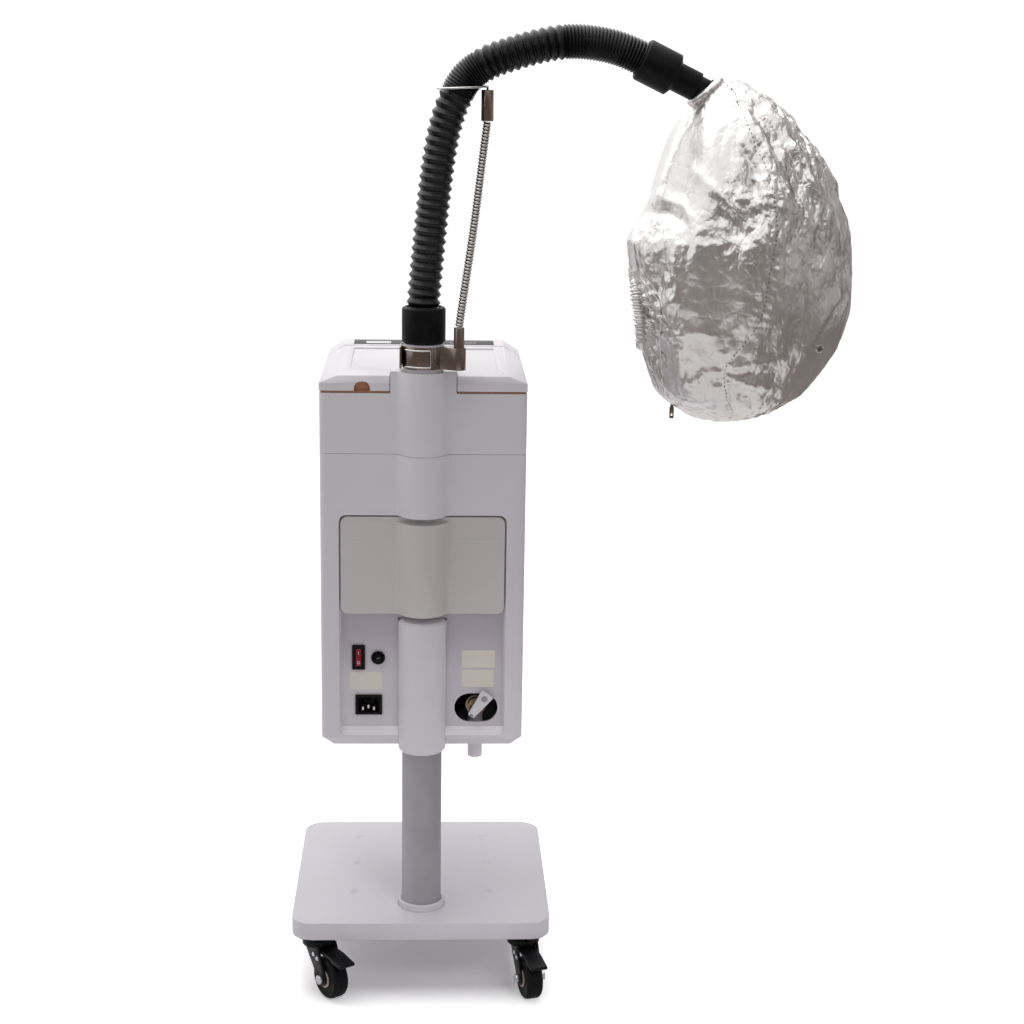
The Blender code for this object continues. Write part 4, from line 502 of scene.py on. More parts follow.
# noises are scale, detail and roughness; cover turns the haze into the share of the lighter colour,
# and rough holds the share of each noise in the roughness
looks = {"moulded": {"haze": (9, 3), "fine": (1300, 2, 0.6), "tints": (0.95, 1.03), "cover": (0.0, 1.0),
                     "rough": (0.16, 0.08), "grain": 0.10, "depth": 0.00012},
         "rubber": {"haze": (60, 4, 0.65), "fine": (1500, 2, 0.6), "paler": 0.008, "cover": (0.45, 3.0),
                    "rough": (0.3, 0.1), "grain": 0.2, "depth": 0.0002},
         "tank": {"haze": (11, 3), "fine": (900, 2), "colours": ((0.65, 0.625, 0.61), (0.70, 0.675, 0.665)),
                  "cover": (0.0, 1.0), "rough": (0.2, 0.08), "grain": 0.08, "depth": 0.0002}}


def plain(name, colour, roughness, grain=None, look="moulded", shade=None, **constants):
    finish, look = Finish(name, colour, roughness, **constants), looks[look]
    haze, fine = (finish.noise(*look[key]) for key in ("haze", "fine"))
    if "tints" in look:
        colours = tints(colour, look["tints"])
    else:
        colours = look.get("colours") or (colour, [c + look["paler"] for c in colour])
    least, gain = look["cover"]
    tone = finish.mix(*colours, (haze - least) * gain)
    if shade:
        tone = finish.mix(tone, [c * share for c, share in zip(colour, recess["tint"])], shade(finish))
    finish.feed("Base Color", tone)
    finish.roughen(roughness, *zip((haze, fine), look["rough"]))
    finish.feed("Normal", finish.bump(fine, grain or look["grain"], look["depth"]))
    return finish


metal = {"haze": (22, 3), "lines": (3, 0.6), "tints": (0.82, 1.12), "rough": 0.12, "depth": 0.0002}


def metalFinish(name, colour, roughness, brush=(1, 1, 1), scale=260, grain=0.05, spread=0.12, metallic=1.0):
    finish = Finish(name, colour, roughness, metallic)
    lines = finish.noise(scale, *metal["lines"], finish.stretched(*brush))
    haze = finish.noise(*metal["haze"])
    finish.feed("Base Color", finish.mix(*tints(colour, metal["tints"]), haze))
    finish.roughen(roughness, (lines, spread), (haze, metal["rough"]))
    finish.feed("Normal", finish.bump(lines, grain, metal["depth"]))
    return finish


foil = {"colours": ((0.66, 0.64, 0.63), (0.80, 0.785, 0.78)), "haze": (16, 3), "fine": (520, 3, 0.55),
        "roughness": 0.31, "rough": (0.16, 0.14), "drift": (0.012, 40), "cells": 62, "edge": 0.14,
        "long": ((38, 2, 0.5), (1, 1, 0.3)), "short": ((90, 2, 0.5), (1, 1, 0.6)),  # noise and its stretch
        # strength and depth, from the lowest layer up
        "bumps": {"long": (0.7, 0.022), "short": (0.6, 0.009), "crease": (0.22, 0.004), "fine": (0.05, 0.0006)}}


def foilFinish():
    finish = Finish("crinkledFoil", (0.72, 0.70, 0.69), 0.24, 1.0)
    haze, fine = (finish.noise(*foil[key]) for key in ("haze", "fine"))
    crease = finish.node("ShaderNodeTexVoronoi", {"feature": "DISTANCE_TO_EDGE"},
                         {"Vector": finish.noisyPlace(*foil["drift"]), "Scale": foil["cells"]})
    heights = {"crease": crease.maths("MINIMUM", foil["edge"]), "fine": fine}
    lively = finish.attribute("lively")
    for key in ("long", "short"):
        scale, stretch = foil[key]
        heights[key] = abs(finish.noise(*scale, finish.stretched(*stretch)) - 0.5) * lively
    finish.feed("Base Color", finish.mix(*foil["colours"], haze))
    finish.roughen(foil["roughness"], *zip((haze, fine), foil["rough"]))
    normal = None
    for key, (strength, depth) in foil["bumps"].items():
        normal = finish.bump(heights[key], strength, depth, normal)
    finish.feed("Normal", normal)
    return finish


hoseLook = {"colours": ((0.003, 0.003, 0.004), (0.022, 0.022, 0.025)), "valley": 0.46, "pale": 0.6, "dusty": 0.5,
            "dust": (70, 4, 0.6), "fine": (1400, 2), "roughness": 0.28, "rough": 0.3, "bump": (0.12, 0.0002)}


def hoseFinish():
    finish = Finish("hoseRubber", (0.006, 0.006, 0.007), 0.30, Specular_IOR_Level=0.27)
    # a thin light line at the foot of each rib: a painted highlight
    valley = abs(finish.attribute("ribPhase").fraction() - 0.5) > hoseLook["valley"]
    dust, fine = (finish.noise(*hoseLook[key]) for key in ("dust", "fine"))
    pale = valley * hoseLook["pale"] + (dust - 0.5) * hoseLook["dusty"]
    finish.feed("Base Color", finish.mix(*hoseLook["colours"], pale))
    finish.roughen(hoseLook["roughness"], (dust, hoseLook["rough"]))
    finish.feed("Normal", finish.bump(fine, *hoseLook["bump"]))
    return finish


flexLook = {"colours": ((0.60, 0.58, 0.555), (0.05, 0.046, 0.042)), "grime": (240, 3), "grimy": 0.5, "from": 0.42,
            "gain": 2.6}


def flexFinish():
    # bright windings with painted shade in the gaps between them, mixed with grime that varies at random
    finish = metalFinish("flexSteel", (0.55, 0.535, 0.51), 0.26)
    gap = abs(finish.attribute("ribPhase").fraction() - 0.5) * 2.0
    grime = finish.noise(*flexLook["grime"])
    # painted shade toward the gaps between windings, plus random grime
    shade = (gap - flexLook["from"]) * flexLook["gain"] + (grime - 0.5) * flexLook["grimy"]
    finish.feed("Base Color", finish.mix(*flexLook["colours"], shade))
    return finish


finishes = {
    "white": plain("whiteCasing", (0.80, 0.785, 0.82), 0.36, Specular_IOR_Level=0.28),
    "shell": plain("shellCasing", (0.80, 0.785, 0.82), 0.36, shade=shadeOfRecess, Specular_IOR_Level=0.28),
    "warm": plain("warmCasing", (0.79, 0.775, 0.795), 0.36, Specular_IOR_Level=0.28),
    # the sill is the casing's white painted lighter: painted light on its upward slope
    "sill": plain("sillCasing", (0.97, 0.955, 0.985), 0.34),
    "base": plain("baseCasing", (0.71, 0.70, 0.745), 0.42, grain=0.16, Specular_IOR_Level=0.28),
    "tank": plain("tankPlastic", (0.66, 0.63, 0.62), 0.32, look="tank", Coat_Weight=0.25, Coat_Roughness=0.2),
    "black": plain("blackCasing", (0.005, 0.005, 0.006), 0.36, grain=0.2, Specular_IOR_Level=0.14),
    "rubber": plain("blackRubber", (0.005, 0.005, 0.006), 0.42, look="rubber", Specular_IOR_Level=0.12),
    "hose": hoseFinish(),
    "wheel": plain("wheelTread", (0.005, 0.005, 0.006), 0.5, look="rubber", Specular_IOR_Level=0.10),
    "cream": plain("bearingCream", (0.52, 0.45, 0.39), 0.45),
    "zinc": metalFinish("zincBolt", (0.55, 0.56, 0.60), 0.28),
    "pole": metalFinish("silverPole", (0.41, 0.405, 0.44), 0.52, brush=(1, 1, 0.05), scale=700, grain=0.03,
                        spread=0.14, metallic=0.45),
    "nickel": metalFinish("darkNickel", (0.26, 0.215, 0.18), 0.24, brush=(1, 1, 4), scale=300, grain=0.04),
    "flex": flexFinish(),
    "steel": metalFinish("brightSteel", (0.58, 0.57, 0.56), 0.22),
    "brass": metalFinish("drainBrass", (0.55, 0.38, 0.17), 0.3),
    "seal": plain("brownSeal", (0.44, 0.20, 0.095), 0.5, look="rubber"),
    "red": plain("redRocker", (0.30, 0.006, 0.014), 0.22, grain=0.05, Coat_Weight=0.5, Coat_Roughness=0.1),
    "glass": plain("panelGlass", (0.014, 0.014, 0.016), 0.38, grain=0.05, Specular_IOR_Level=0.10),
    "mark": plain("printedWhite", (0.75, 0.75, 0.76), 0.5),
    "redMark": plain("printedRed", (0.42, 0.05, 0.04), 0.5),
    "grey": plain("greyInsert", (0.36, 0.36, 0.375), 0.45),
    "sticker": plain("blankLabel", (0.86, 0.81, 0.72), 0.45),
    "foil": foilFinish(),
    "board": plain("boardGreen", (0.02, 0.16, 0.06), 0.4),
    "thread": plain("seamThread", (0.09, 0.085, 0.08), 0.7, look="rubber"),
}
print("finishes ready:", len(finishes))


# trees that set a small shape on many points and that sweep a ribbed tube along a line

def scatterTree():
    tree = ShapeTree("scatterOnPoints", Template="object", Size="float", Finish="material")
    shape = tree.node("GeometryNodeObjectInfo", {}, {"Object": tree.given("Template")}, "Geometry")
    upright = tree.node("FunctionNodeAlignRotationToVector", {"axis": "Z"},
                        {"Vector": tree.named("facing", "FLOAT_VECTOR")})
    turned = tree.node("FunctionNodeAlignRotationToVector", {"axis": "X", "pivot_axis": "Z"},
                       {"Rotation": upright, "Vector": tree.named("along", "FLOAT_VECTOR")})
    spread = tree.node("GeometryNodeInstanceOnPoints", {}, {"Points": tree.given("Shape"), "Instance": shape,
                       "Rotation": turned, "Scale": tree.given("Size")})
    real = tree.node("GeometryNodeRealizeInstances", {}, {"Geometry": spread})
    tree.close(tree.node("GeometryNodeSetMaterial", {}, {"Geometry": real, "Material": tree.given("Finish")}))
    return tree


scatter = scatterTree()


def spreadShape(template, places, finish, size=1.0):
    # places: (point, facing, along)
    points = linked("points", meshFrom("points", [p for p, f, a in places], []))
    for label, k in (("facing", 1), ("along", 2)):
        layer = points.data.attributes.new(label, "FLOAT_VECTOR", "POINT")
        layer.data.foreach_set("vector", [v for place in places for v in Vector(place[k])])
    model = linked("template", template)
    mesh = scatter.grow(points, Template=model, Size=size, Finish=finishes[finish].material)
    bpy.data.objects.remove(model)
    return mesh


def tubeTree():
    tree = ShapeTree("ribbedTube", Outer="float", Sides="int", Finish="material")
    line = tree.node("GeometryNodeMeshToCurve", {}, {"Mesh": tree.given("Shape")})
    crest = 1.0 - abs(tree.named("ribPhase").fraction() * 2.0 - 1.0).power(tree.named("ribEdge"))
    radius = tree.given("Outer") - tree.named("ribDepth") * (1.0 - crest)
    ring = tree.node("GeometryNodeCurvePrimitiveCircle", {}, {"Resolution": tree.given("Sides"), "Radius": 1.0})
    skin = tree.node("GeometryNodeCurveToMesh", {}, {"Curve": line, "Profile Curve": ring, "Scale": radius})
    skin = tree.node("GeometryNodeRealizeInstances", {}, {"Geometry": skin})
    tree.close(tree.node("GeometryNodeSetMaterial", {}, {"Geometry": skin, "Material": tree.given("Finish")}))
    return tree


ribbedTube = tubeTree()


# cabinet, base and small fittings from the frame's own shapes

hardPieces = [  # piece, node, finish, edge radius, steps
    ("cabinetShell", "main_housing", "shell", 0.0016, 3),
    ("cabinetTop", "upper_housing", "warm", 0.0016, 3),
    ("compartmentLid", "lid", "white", 0.0016, 3),
    ("lidSealLine", "lid_seal", "seal", 0.0003, 1),
    ("controlHousing", "control_housing", "white", 0.0012, 3),
    ("controlStrip", "control_panel", "glass", 0.0003, 2),
    ("bottomCover", "bottom_cover", "white", 0.0006, 2),
    ("poleSleeve", "pole_sleeve", "white", 0.0012, 3),
    ("stem", "pole", "pole", 0.0008, 2),
    ("poleCollar", "pole_collar", "base", 0.0016, 3),
    ("waterTank", "water_tank", "tank", 0.0030, 4),
    ("switchBezel", "power_switch", "black", 0.0006, 2),
    ("switchRocker", "switch_rocker", "red", 0.0008, 3),
    ("fuseHolder", "fuse_holder", "black", 0.0007, 2),
    ("fuseCap", "fuse_cap", "black", 0.0006, 2),
    ("inletShell", "mains_inlet", "black", 0.0005, 2),
    ("drainBody", "drain_valve", "nickel", 0.0004, 2),
    ("drainLever", "drain_lever", "white", 0.0012, 3),
    ("drainSpout", "drain_spout", "white", 0.0008, 2),
    ("outletPipe", "steam_outlet", "white", 0.0008, 2),
    ("clampBand", "clamp_band", "nickel", 0.0006, 2),
    ("latchLever", "latch_lever", "nickel", 0.0007, 2),
    ("latchBail", "latch_bail", "steel", 0.0002, 1),
    ("lowerFerrule", "lower_ferrule", "nickel", 0.0008, 2),
    ("upperFerrule", "upper_ferrule", "nickel", 0.0010, 2),
    ("hoseLoop", "hose_loop", "steel", 0.0002, 1),
    ("lowerCuff", "hose_lower_cuff", "rubber", 0.0012, 3),
    ("upperCuff", "hose_upper_cuff", "rubber", 0.0012, 3),
    ("hoodInlet", "hood_inlet", "black", 0.0006, 2),
    ("zipPull", "zip_pull", "nickel", 0.0003, 2),
]
for caster in ("rear_left", "rear_right", "front_left", "front_right"):
    label = caster.replace("_l", "L").replace("_r", "R")
    hardPieces += [
        ("casterPlate-" + label, "caster_plate_" + caster, "zinc", 0.0006, 2),
        ("casterFork-" + label, "caster_fork_" + caster, "black", 0.0008, 2),
        ("casterTyre-" + label, "caster_wheel_" + caster, "wheel", 0.0012, 3),
        ("casterAxle-" + label, "caster_axle_" + caster, "zinc", 0.0005, 2),
    ]
    if "rear" in caster:
        hardPieces.append(("brakePedal-" + label, "brake_pedal_" + caster, "black", 0.0010, 3))

lidForm = {"nodes": ("lid", "lid_seal"), "shoulder": 0.0085, "drop": 0.0060, "lean": 0.0058, "near": (0.008, 0.030),
           "angle": 20}


def sloped(mesh):
    # the lid's top falls toward the rear and the rear edge leans in above its shoulder
    corners = cornersOf("lid")
    (rear, low), (front, high) = corners[:, 1:].min(0), corners[:, 1:].max(0)
    shoulder = low + lidForm["shoulder"]
    near, far = lidForm["near"]
    work = bmesh.new()
    work.from_mesh(mesh)
    bmesh.ops.bisect_plane(work, geom=work.verts[:] + work.edges[:] + work.faces[:], plane_co=(0, 0, shoulder),
                           plane_no=(0, 0, 1))
    for corner in work.verts:
        up = max(0.0, (corner.co.z - shoulder) / (high - shoulder))
        corner.co.z -= lidForm["drop"] * up * (front - corner.co.y) / (front - rear)
        corner.co.y += lidForm["lean"] * up * min(1.0, max(0.0, (rear + far - corner.co.y) / (far - near)))
    work.to_mesh(mesh)
    work.free()
    return mesh


for name, node, finish, width, steps in hardPieces:
    special = {"angle": lidForm["angle"], "form": sloped, "firm": True} if node in lidForm["nodes"] else {}
    dressed(name, node, finish, width, steps, **special)
print("hard pieces dressed:", len(hardPieces))

# what the cabinet hides keeps its own shape
hidden = {"boiler": "steel", "band_heater": "nickel", "steam_pipe": "rubber", "tank_shelf": "white",
          "control_board": "board", "lid_hinge_pin": "steel"}
for node, finish in hidden.items():
    nodes[node].data.materials.clear()
    nodes[node].data.materials.append(finishes[finish].material)


baseDents = {"across": 0.078, "rows": (0.029, 0.113, 0.194), "radius": 0.0085, "depth": 0.0018, "rings": 7,
             "sides": 28, "lip": (1.05, 0.1), "level": 2e-5}


def dented(mesh):
    # shallow marks that the ribs under the base leave in its top
    top = max(v.co.z for v in mesh.vertices)
    radius, depth, rings = (baseDents[key] for key in ("radius", "depth", "rings"))
    wider, higher = baseDents["lip"]
    profile = [(radius * k / rings, -depth * (1 - (k / rings) ** 2) ** 2) for k in range(rings + 1)]
    profile += [(radius * wider, depth * higher), (0, depth)]
    spots = [(side * baseDents["across"], y, top) for side in (-1, 1) for y in baseDents["rows"]]
    tool = linked("tool", joined([turnedMesh(profile, spot, (0, 0, 1), baseDents["sides"]) for spot in spots]))
    result = modified(mesh, "BOOLEAN", object=tool, operation="DIFFERENCE", solver="EXACT")
    bpy.data.objects.remove(tool)
    return result


base = dressed("basePlate", "base_plate", "base", width=0.0035, steps=4, form=dented).data
deck = max(v.co.z for v in base.vertices) - baseDents["level"]
for edge in base.edges:  # the flat top keeps its flat shading up to the dents and the rounded edge
    edge.use_edge_sharp |= all(base.vertices[k].co.z > deck for k in edge.vertices)

# ribbed hose and gooseneck

def tubePiece(name, line, style, layers, finish, node):
    source = linked(name, meshFrom(name, line, [], [(i, i + 1) for i in range(len(line) - 1)]))
    for label, values in layers.items():
        layer = source.data.attributes.new(label, "FLOAT", "POINT")
        layer.data.foreach_set("value", np.asarray(values, np.float32))
    mesh = ribbedTube.grow(source, Outer=style["outer"], Sides=style["sides"], Finish=finishes[finish].material)
    settled(name, remade(mesh, fill=True), finish, bodyOf[node], [node], angle=70)


hose = {"outer": 0.0188, "sides": 40, "step": 0.0006, "perSpan": 24,
        "points": ((0, 774.4), (0, 793.4), (0, 812.4), (4.5, 863.4), (9.5, 913.4), (15.5, 962.4), (22, 996.4),
                   (30.5, 1022.4), (44.5, 1047.9), (66, 1063.9), (95, 1074.9), (130, 1084.4), (160, 1087.9),
                   (192, 1084.9), (220.3, 1076.6), (254.2, 1060.4)),
        # ribs, pitch, edge, depth
        "zones": ((24, 0.0096, 1.0, 0.0034), (13, 0.0030, 1.0, 0.0017), (11, 0.0084, 1.3, 0.0031),
                  (24, 0.0036, 1.0, 0.0018)),
        # what the cuffs hide at the foot and at the end, the depth and pitch there, and the turns it may count back
        "hidden": (0.0287, 0.024), "plainDepth": 0.0018, "plainPitch": 0.0096, "spare": 100, "soften": 9}


def makeHose():
    points = [Vector((x, 0, z)) * mm for x, z in hose["points"]]
    path = smoothPath(points, (0, 0, 1), (points[-1] - points[-2]).normalized(), hose["perSpan"])
    line, at = evenPath(path, hose["step"])
    start, end = hose["hidden"]
    phase = (at - start) / hose["plainPitch"] + hose["spare"]
    edge, depth = np.ones(len(at)), np.full(len(at), hose["plainDepth"])
    lengths = [count * pitch for count, pitch, *rest in hose["zones"]]
    stretch = (at[-1] - start - end) / sum(lengths)
    ribs = 0
    for (count, pitch, sharp, deep), length in zip(hose["zones"], lengths):
        inside = at >= start
        phase[inside] = ribs + (at[inside] - start) / (pitch * stretch)
        edge[inside], depth[inside] = sharp, deep
        start += length * stretch
        ribs += count
    layers = {"ribPhase": phase, "ribEdge": edge, "ribDepth": averaged(depth, hose["soften"])}
    tubePiece("ribbedHose", line, hose, layers, "hose", "hose")


neck = {"outer": 0.0047, "depth": 0.0012, "edge": 1.8, "pitch": 0.0036, "step": 0.00045, "sides": 18, "perSpan": 12,
        "endReach": 0.002, "middleReach": 0.02}


def makeGooseneck():
    spots = cornersOf("gooseneck")
    height = spots[:, 2]
    foot = spots[height < height.min() + neck["endReach"]].mean(0)
    head = spots[height > height.max() - neck["endReach"]].mean(0)
    middle = spots[np.abs(height - (foot[2] + head[2]) / 2) < neck["middleReach"]].mean(0)
    way = Vector(head - foot).normalized()
    line, at = evenPath(smoothPath([foot, middle, head], way, way, neck["perSpan"]), neck["step"])
    layers = {"ribPhase": at / neck["pitch"], "ribEdge": np.full(len(at), neck["edge"]),
              "ribDepth": np.full(len(at), neck["depth"])}
    tubePiece("flexArm", line, neck, layers, "flex", "gooseneck")


makeHose()
makeGooseneck()
print("hose and gooseneck ready")

# hood of crinkled foil cloth

hood = {"rows": 214, "columns": 216, "cloth": 0.0004, "flat": (0.75, 0.42), "area": 0.24, "seed": 11,
        "flange": (0.30206, 0.0, 1.0376), "slope": -51.0, "neck": 0.0195, "neckDrop": 0.0018, "perSpan": 20,
        "crowding": 0.95,
        # X and Z at the left, X and Z at the right, depth: in mm from the flange
        "sections": ((-26.6, -29, 44.4, 9, 34), (-38.6, -52, 91.4, -23, 60), (-50.6, -89, 131.4, -75, 84),
                     (-60.6, -123, 154.4, -125, 97), (-81, -157, 162, -171, 105), (-76, -197, 167, -211, 106),
                     (-71.6, -240, 164, -245, 102), (-57.6, -280, 150.4, -282, 92), (-45.6, -320, 123.4, -321, 74),
                     (-19.6, -344.4, 91.4, -344.4, 47), (8.4, -357, 51.4, -356, 18)),
        "folds": (9, 5, 0.0035), "minorFolds": (5, 9, 0.5), "foldFade": 0.6, "foldFrom": 0.25,
        "away": 2.15, "held": 0.05, "foot": 0.03,  # distance from the eye, share held by the neck, height of the foot
        # where the cloth is left smooth: the snap of the photograph and the slider of the zip, each with its reach
        "snapAt": (819, 348.5), "snapReach": 0.011, "sliderAt": (0.2797, 0.0, 0.6940), "sliderReach": 0.016}


def unit(values):
    return np.clip(values, 0, 1)


def towardCamera(facing):
    return -facing if facing.y > 0 else facing


def skinOf(points, faces):
    return BVHTree.FromPolygons([tuple(p) for p in points], [tuple(int(i) for i in f) for f in faces])


def flangeWay():
    slope = math.radians(hood["slope"])
    return Vector((math.cos(slope), 0, math.sin(slope)))


def hoodRows():
    centre, normal = Vector(hood["flange"]), flangeWay()
    across = Vector((-normal.z, 0, normal.x))
    top = centre + normal * hood["neckDrop"]
    sides = [(top - across * hood["neck"], top + across * hood["neck"], hood["neck"])]
    for leftX, leftZ, rightX, rightZ, depth in hood["sections"]:
        sides.append((centre + Vector((leftX, 0, leftZ)) * mm, centre + Vector((rightX, 0, rightZ)) * mm,
                      depth * mm))
    left = smoothPath([s[0] for s in sides], normal, (1, 0, 0), hood["perSpan"])
    right = smoothPath([s[1] for s in sides], across, (-1, 0, 0), hood["perSpan"])
    deep = smoothPath([Vector((s[2], 0, 0)) for s in sides], (1, 0, 0), (-1, 0, 0), hood["perSpan"])
    share = (np.arange(hood["rows"]) / (hood["rows"] - 1)) ** hood["crowding"]
    at, pick = share * (len(left) - 1), np.arange(len(left))
    left, right = (np.stack([np.interp(at, pick, [p[k] for p in path]) for k in range(3)], axis=1)
                   for path in (left, right))
    return share, left, right, np.interp(at, pick, [p.x for p in deep])


def hoodGrid():
    share, left, right, depth = hoodRows()
    angle = np.arange(hood["columns"]) * math.tau / hood["columns"]
    half = (right - left) / 2
    broad = np.maximum(np.linalg.norm(half, axis=1), depth)
    fade = np.sqrt(unit(np.sin(math.pi * share))) * (1 - hood["foldFade"] * share) * unit(share / hood["foldFrom"])
    count, drift, height = hood["folds"]
    minor, minorDrift, minorShare = hood["minorFolds"]
    a, s = angle[None, :], share[:, None]
    wave = np.sin(count * a + drift * s) + minorShare * np.sin(minor * a - minorDrift * s)
    swell = 1 + height * (fade / broad)[:, None] * wave
    middle = ((left + right) / 2)[:, None, :]
    grid = middle + half[:, None, :] * (np.cos(a) * swell)[..., None]
    grid[..., 1] += depth[:, None] * np.sin(a) * swell
    return grid, share


def gridNormals(grid):
    around = np.roll(grid, -1, axis=1) - np.roll(grid, 1, axis=1)
    normal = np.cross(around, np.gradient(grid, axis=0))
    normal /= np.maximum(np.linalg.norm(normal, axis=2, keepdims=True), 1e-9)
    outward = grid - grid.mean(axis=1, keepdims=True)
    return normal * np.sign((normal * outward).sum(axis=2).mean())


creases = {"count": 420,
           # half width, half length, slope, lean from the hood's own length
           "streaks": ((0.0030, 0.0080), (0.018, 0.055), (0.16, 0.32), 0.32),
           "soft": ((0.007, 0.018), (0.012, 0.036), (0.05, 0.13), 1.2),
           "foot": ((0.004, 0.011), (0.010, 0.032), (0.10, 0.20), 1.0),
           # X and Z from which streaks begin, Z from which soft ones do
           "streaksFrom": (0.345, 0.80), "softFrom": 0.77, "bow": (0.2, 4), "skew": (0.4, 1.0), "through": 0.03}


def randomCreases(rng, grid, points, normals):
    # tents on short lines, mostly down the length of the hood
    along = np.gradient(grid, axis=0)
    weight = np.linalg.norm(np.cross(along, np.gradient(grid, axis=1)), axis=2).reshape(-1)
    down = along.reshape(-1, 3)
    down = down / np.maximum(np.linalg.norm(down, axis=1, keepdims=True), 1e-9)
    fromX, fromZ = creases["streaksFrom"]
    most, bends = creases["bow"]
    rise = np.zeros(len(points))
    for pick in rng.choice(len(points), creases["count"], p=weight / weight.sum()):
        centre, n = points[pick], normals[pick]
        streaked = centre[0] > fromX and centre[2] > fromZ
        kind = "streaks" if streaked else "soft" if centre[2] > creases["softFrom"] else "foot"
        (thin, broad), (short, long), (low, high), lean = creases[kind]
        turn = rng.normal(0, lean)
        line = down[pick] * math.cos(turn) + np.cross(n, down[pick]) * math.sin(turn)
        across = np.cross(line, n)
        width, length = rng.uniform(thin, broad), rng.uniform(short, long)
        height = width * rng.uniform(low, high) * rng.choice((-1, 1))
        bow, skew = rng.uniform(-most, most), rng.uniform(*creases["skew"])
        off = points - centre
        y = off @ line
        x = off @ across + bow * width * np.sin(y / length * bends)
        reach = (np.abs(off @ n) < creases["through"]) * unit(1 - (y / length) ** 2)
        rise += height * reach * unit(1 - np.abs(x) * np.where(x > 0, 1.0, skew) / width) ** 2
    return rise


crumple = {"even": 0.35, "limits": (0.05, 1.2),
           # share more or less crumpled, then where (X, Z) and how far it reaches
           "spots": ((0.85, 0.410, 0.920, 0.060, 0.085), (0.35, 0.330, 0.905, 0.025, 0.040),
                     (-0.40, 0.275, 0.975, 0.045, 0.055), (-0.20, 0.315, 0.830, 0.045, 0.045),
                     (0.55, 0.245, 0.805, 0.022, 0.050), (-0.24, 0.425, 0.790, 0.050, 0.050)),
           # height, how many to the metre, and the stretch at the left and at the right
           "ridges": ((0.0110, 30, 0.7, 0.24), (0.0062, 66, 0.8, 0.26), (0.0022, 140, 0.9, 0.35)),
           "right": (0.335, 0.03), "level": 0.2, "spread": 50, "apart": 9}


def hoodCrumple(points):
    # how crumpled the foil is, from the photograph: calm at the upper left and in the middle, lively at the right
    x, z = points[:, 0], points[:, 2]
    share = np.full(len(points), crumple["even"])
    for amount, atX, atZ, reachX, reachZ in crumple["spots"]:
        share += amount * np.exp(-((x - atX) / reachX) ** 2 - ((z - atZ) / reachZ) ** 2)
    return np.clip(share, *crumple["limits"])


def ridged(points, scale, stretch, shift):
    # noise folded at zero, so that its creases are sharp
    way = np.array((scale, scale, scale * stretch))
    return np.array([abs(noise.noise(Vector(p * way + shift))) for p in points]) - crumple["level"]


def ridgeRise(rng, points):
    start, width = crumple["right"]
    right = unit((points[:, 0] - start) / width)
    rise = np.zeros(len(points))
    for height, scale, stretchLeft, stretchRight in crumple["ridges"]:
        shift = rng.uniform(0, crumple["spread"], 3)
        rise += height * (1 - right) * ridged(points, scale, stretchLeft, shift)
        rise += height * right * ridged(points, scale, stretchRight, shift + crumple["apart"])
    return rise


strokes = {"reach": 1.35, "flap": (0.22, 1.6), "ends": (0.04, 1.8),
           # creases of the photograph: height, half width, one-sided, then photo points
           "lines": (
               (0.0030, 0.010, 0, (689, 164), (711, 186), (731, 206), (757, 237)),
               (0.0024, 0.009, 0, (716, 186), (737, 212), (752, 238), (768, 246)),
               (-0.0040, 0.009, 0, (742, 148), (750, 163), (762, 178)),
               (-0.0030, 0.008, 0, (752, 172), (757, 200), (765, 216)),
               (0.0030, 0.014, 0, (640, 204), (662, 198), (684, 206), (700, 232)),
               (-0.0026, 0.010, 0, (645, 214), (668, 212), (688, 226)),
               (0.0026, 0.010, 0, (706, 240), (696, 258), (687, 280)),
               (0.0022, 0.008, 0, (706, 241), (720, 246), (738, 238), (752, 246)),
               (0.0032, 0.009, 0, (735, 103), (752, 128), (770, 156), (786, 190), (800, 214)),
               (-0.0030, 0.008, 0, (742, 98), (764, 128), (782, 160), (797, 196)),
               (0.0030, 0.010, 0, (783, 128), (800, 158), (814, 186), (828, 206)),
               (-0.0028, 0.009, 0, (776, 130), (792, 160), (806, 190), (812, 232)),
               (0.0026, 0.009, 0, (790, 200), (796, 232), (800, 262)),
               (0.0024, 0.009, 0, (812, 196), (820, 226), (822, 256)),
               (-0.0028, 0.009, 0, (784, 214), (788, 250), (787, 290)),
               (0.0052, 0.013, 1, (801, 366), (808, 351), (815, 336), (822, 322), (831, 308), (844, 290)),
               (-0.0034, 0.007, 0, (846, 296), (835, 312), (827, 327), (819, 342), (811, 356)),
               (0.0040, 0.010, 0, (848, 292), (844, 306), (837, 322), (829, 338)),
               (0.0040, 0.012, 1, (662, 270), (668, 290), (668, 318), (660, 342)),
               (-0.0030, 0.008, 0, (655, 262), (658, 284), (656, 306)),
               (0.0024, 0.010, 0, (658, 342), (676, 336), (698, 332), (720, 338)),
               (0.0030, 0.010, 0, (726, 370), (752, 364), (784, 358)),
               (0.0026, 0.009, 0, (726, 376), (750, 384), (776, 390)),
               (-0.0028, 0.009, 0, (726, 372), (748, 374), (772, 374)),
               (0.0026, 0.010, 0, (722, 370), (704, 376), (684, 386)),
               (-0.0022, 0.009, 0, (722, 378), (706, 388), (694, 400)),
               (0.0022, 0.009, 0, (640, 330), (648, 352), (660, 376), (676, 396)),
               (-0.0018, 0.008, 0, (760, 330), (740, 352), (726, 368)),
           )}


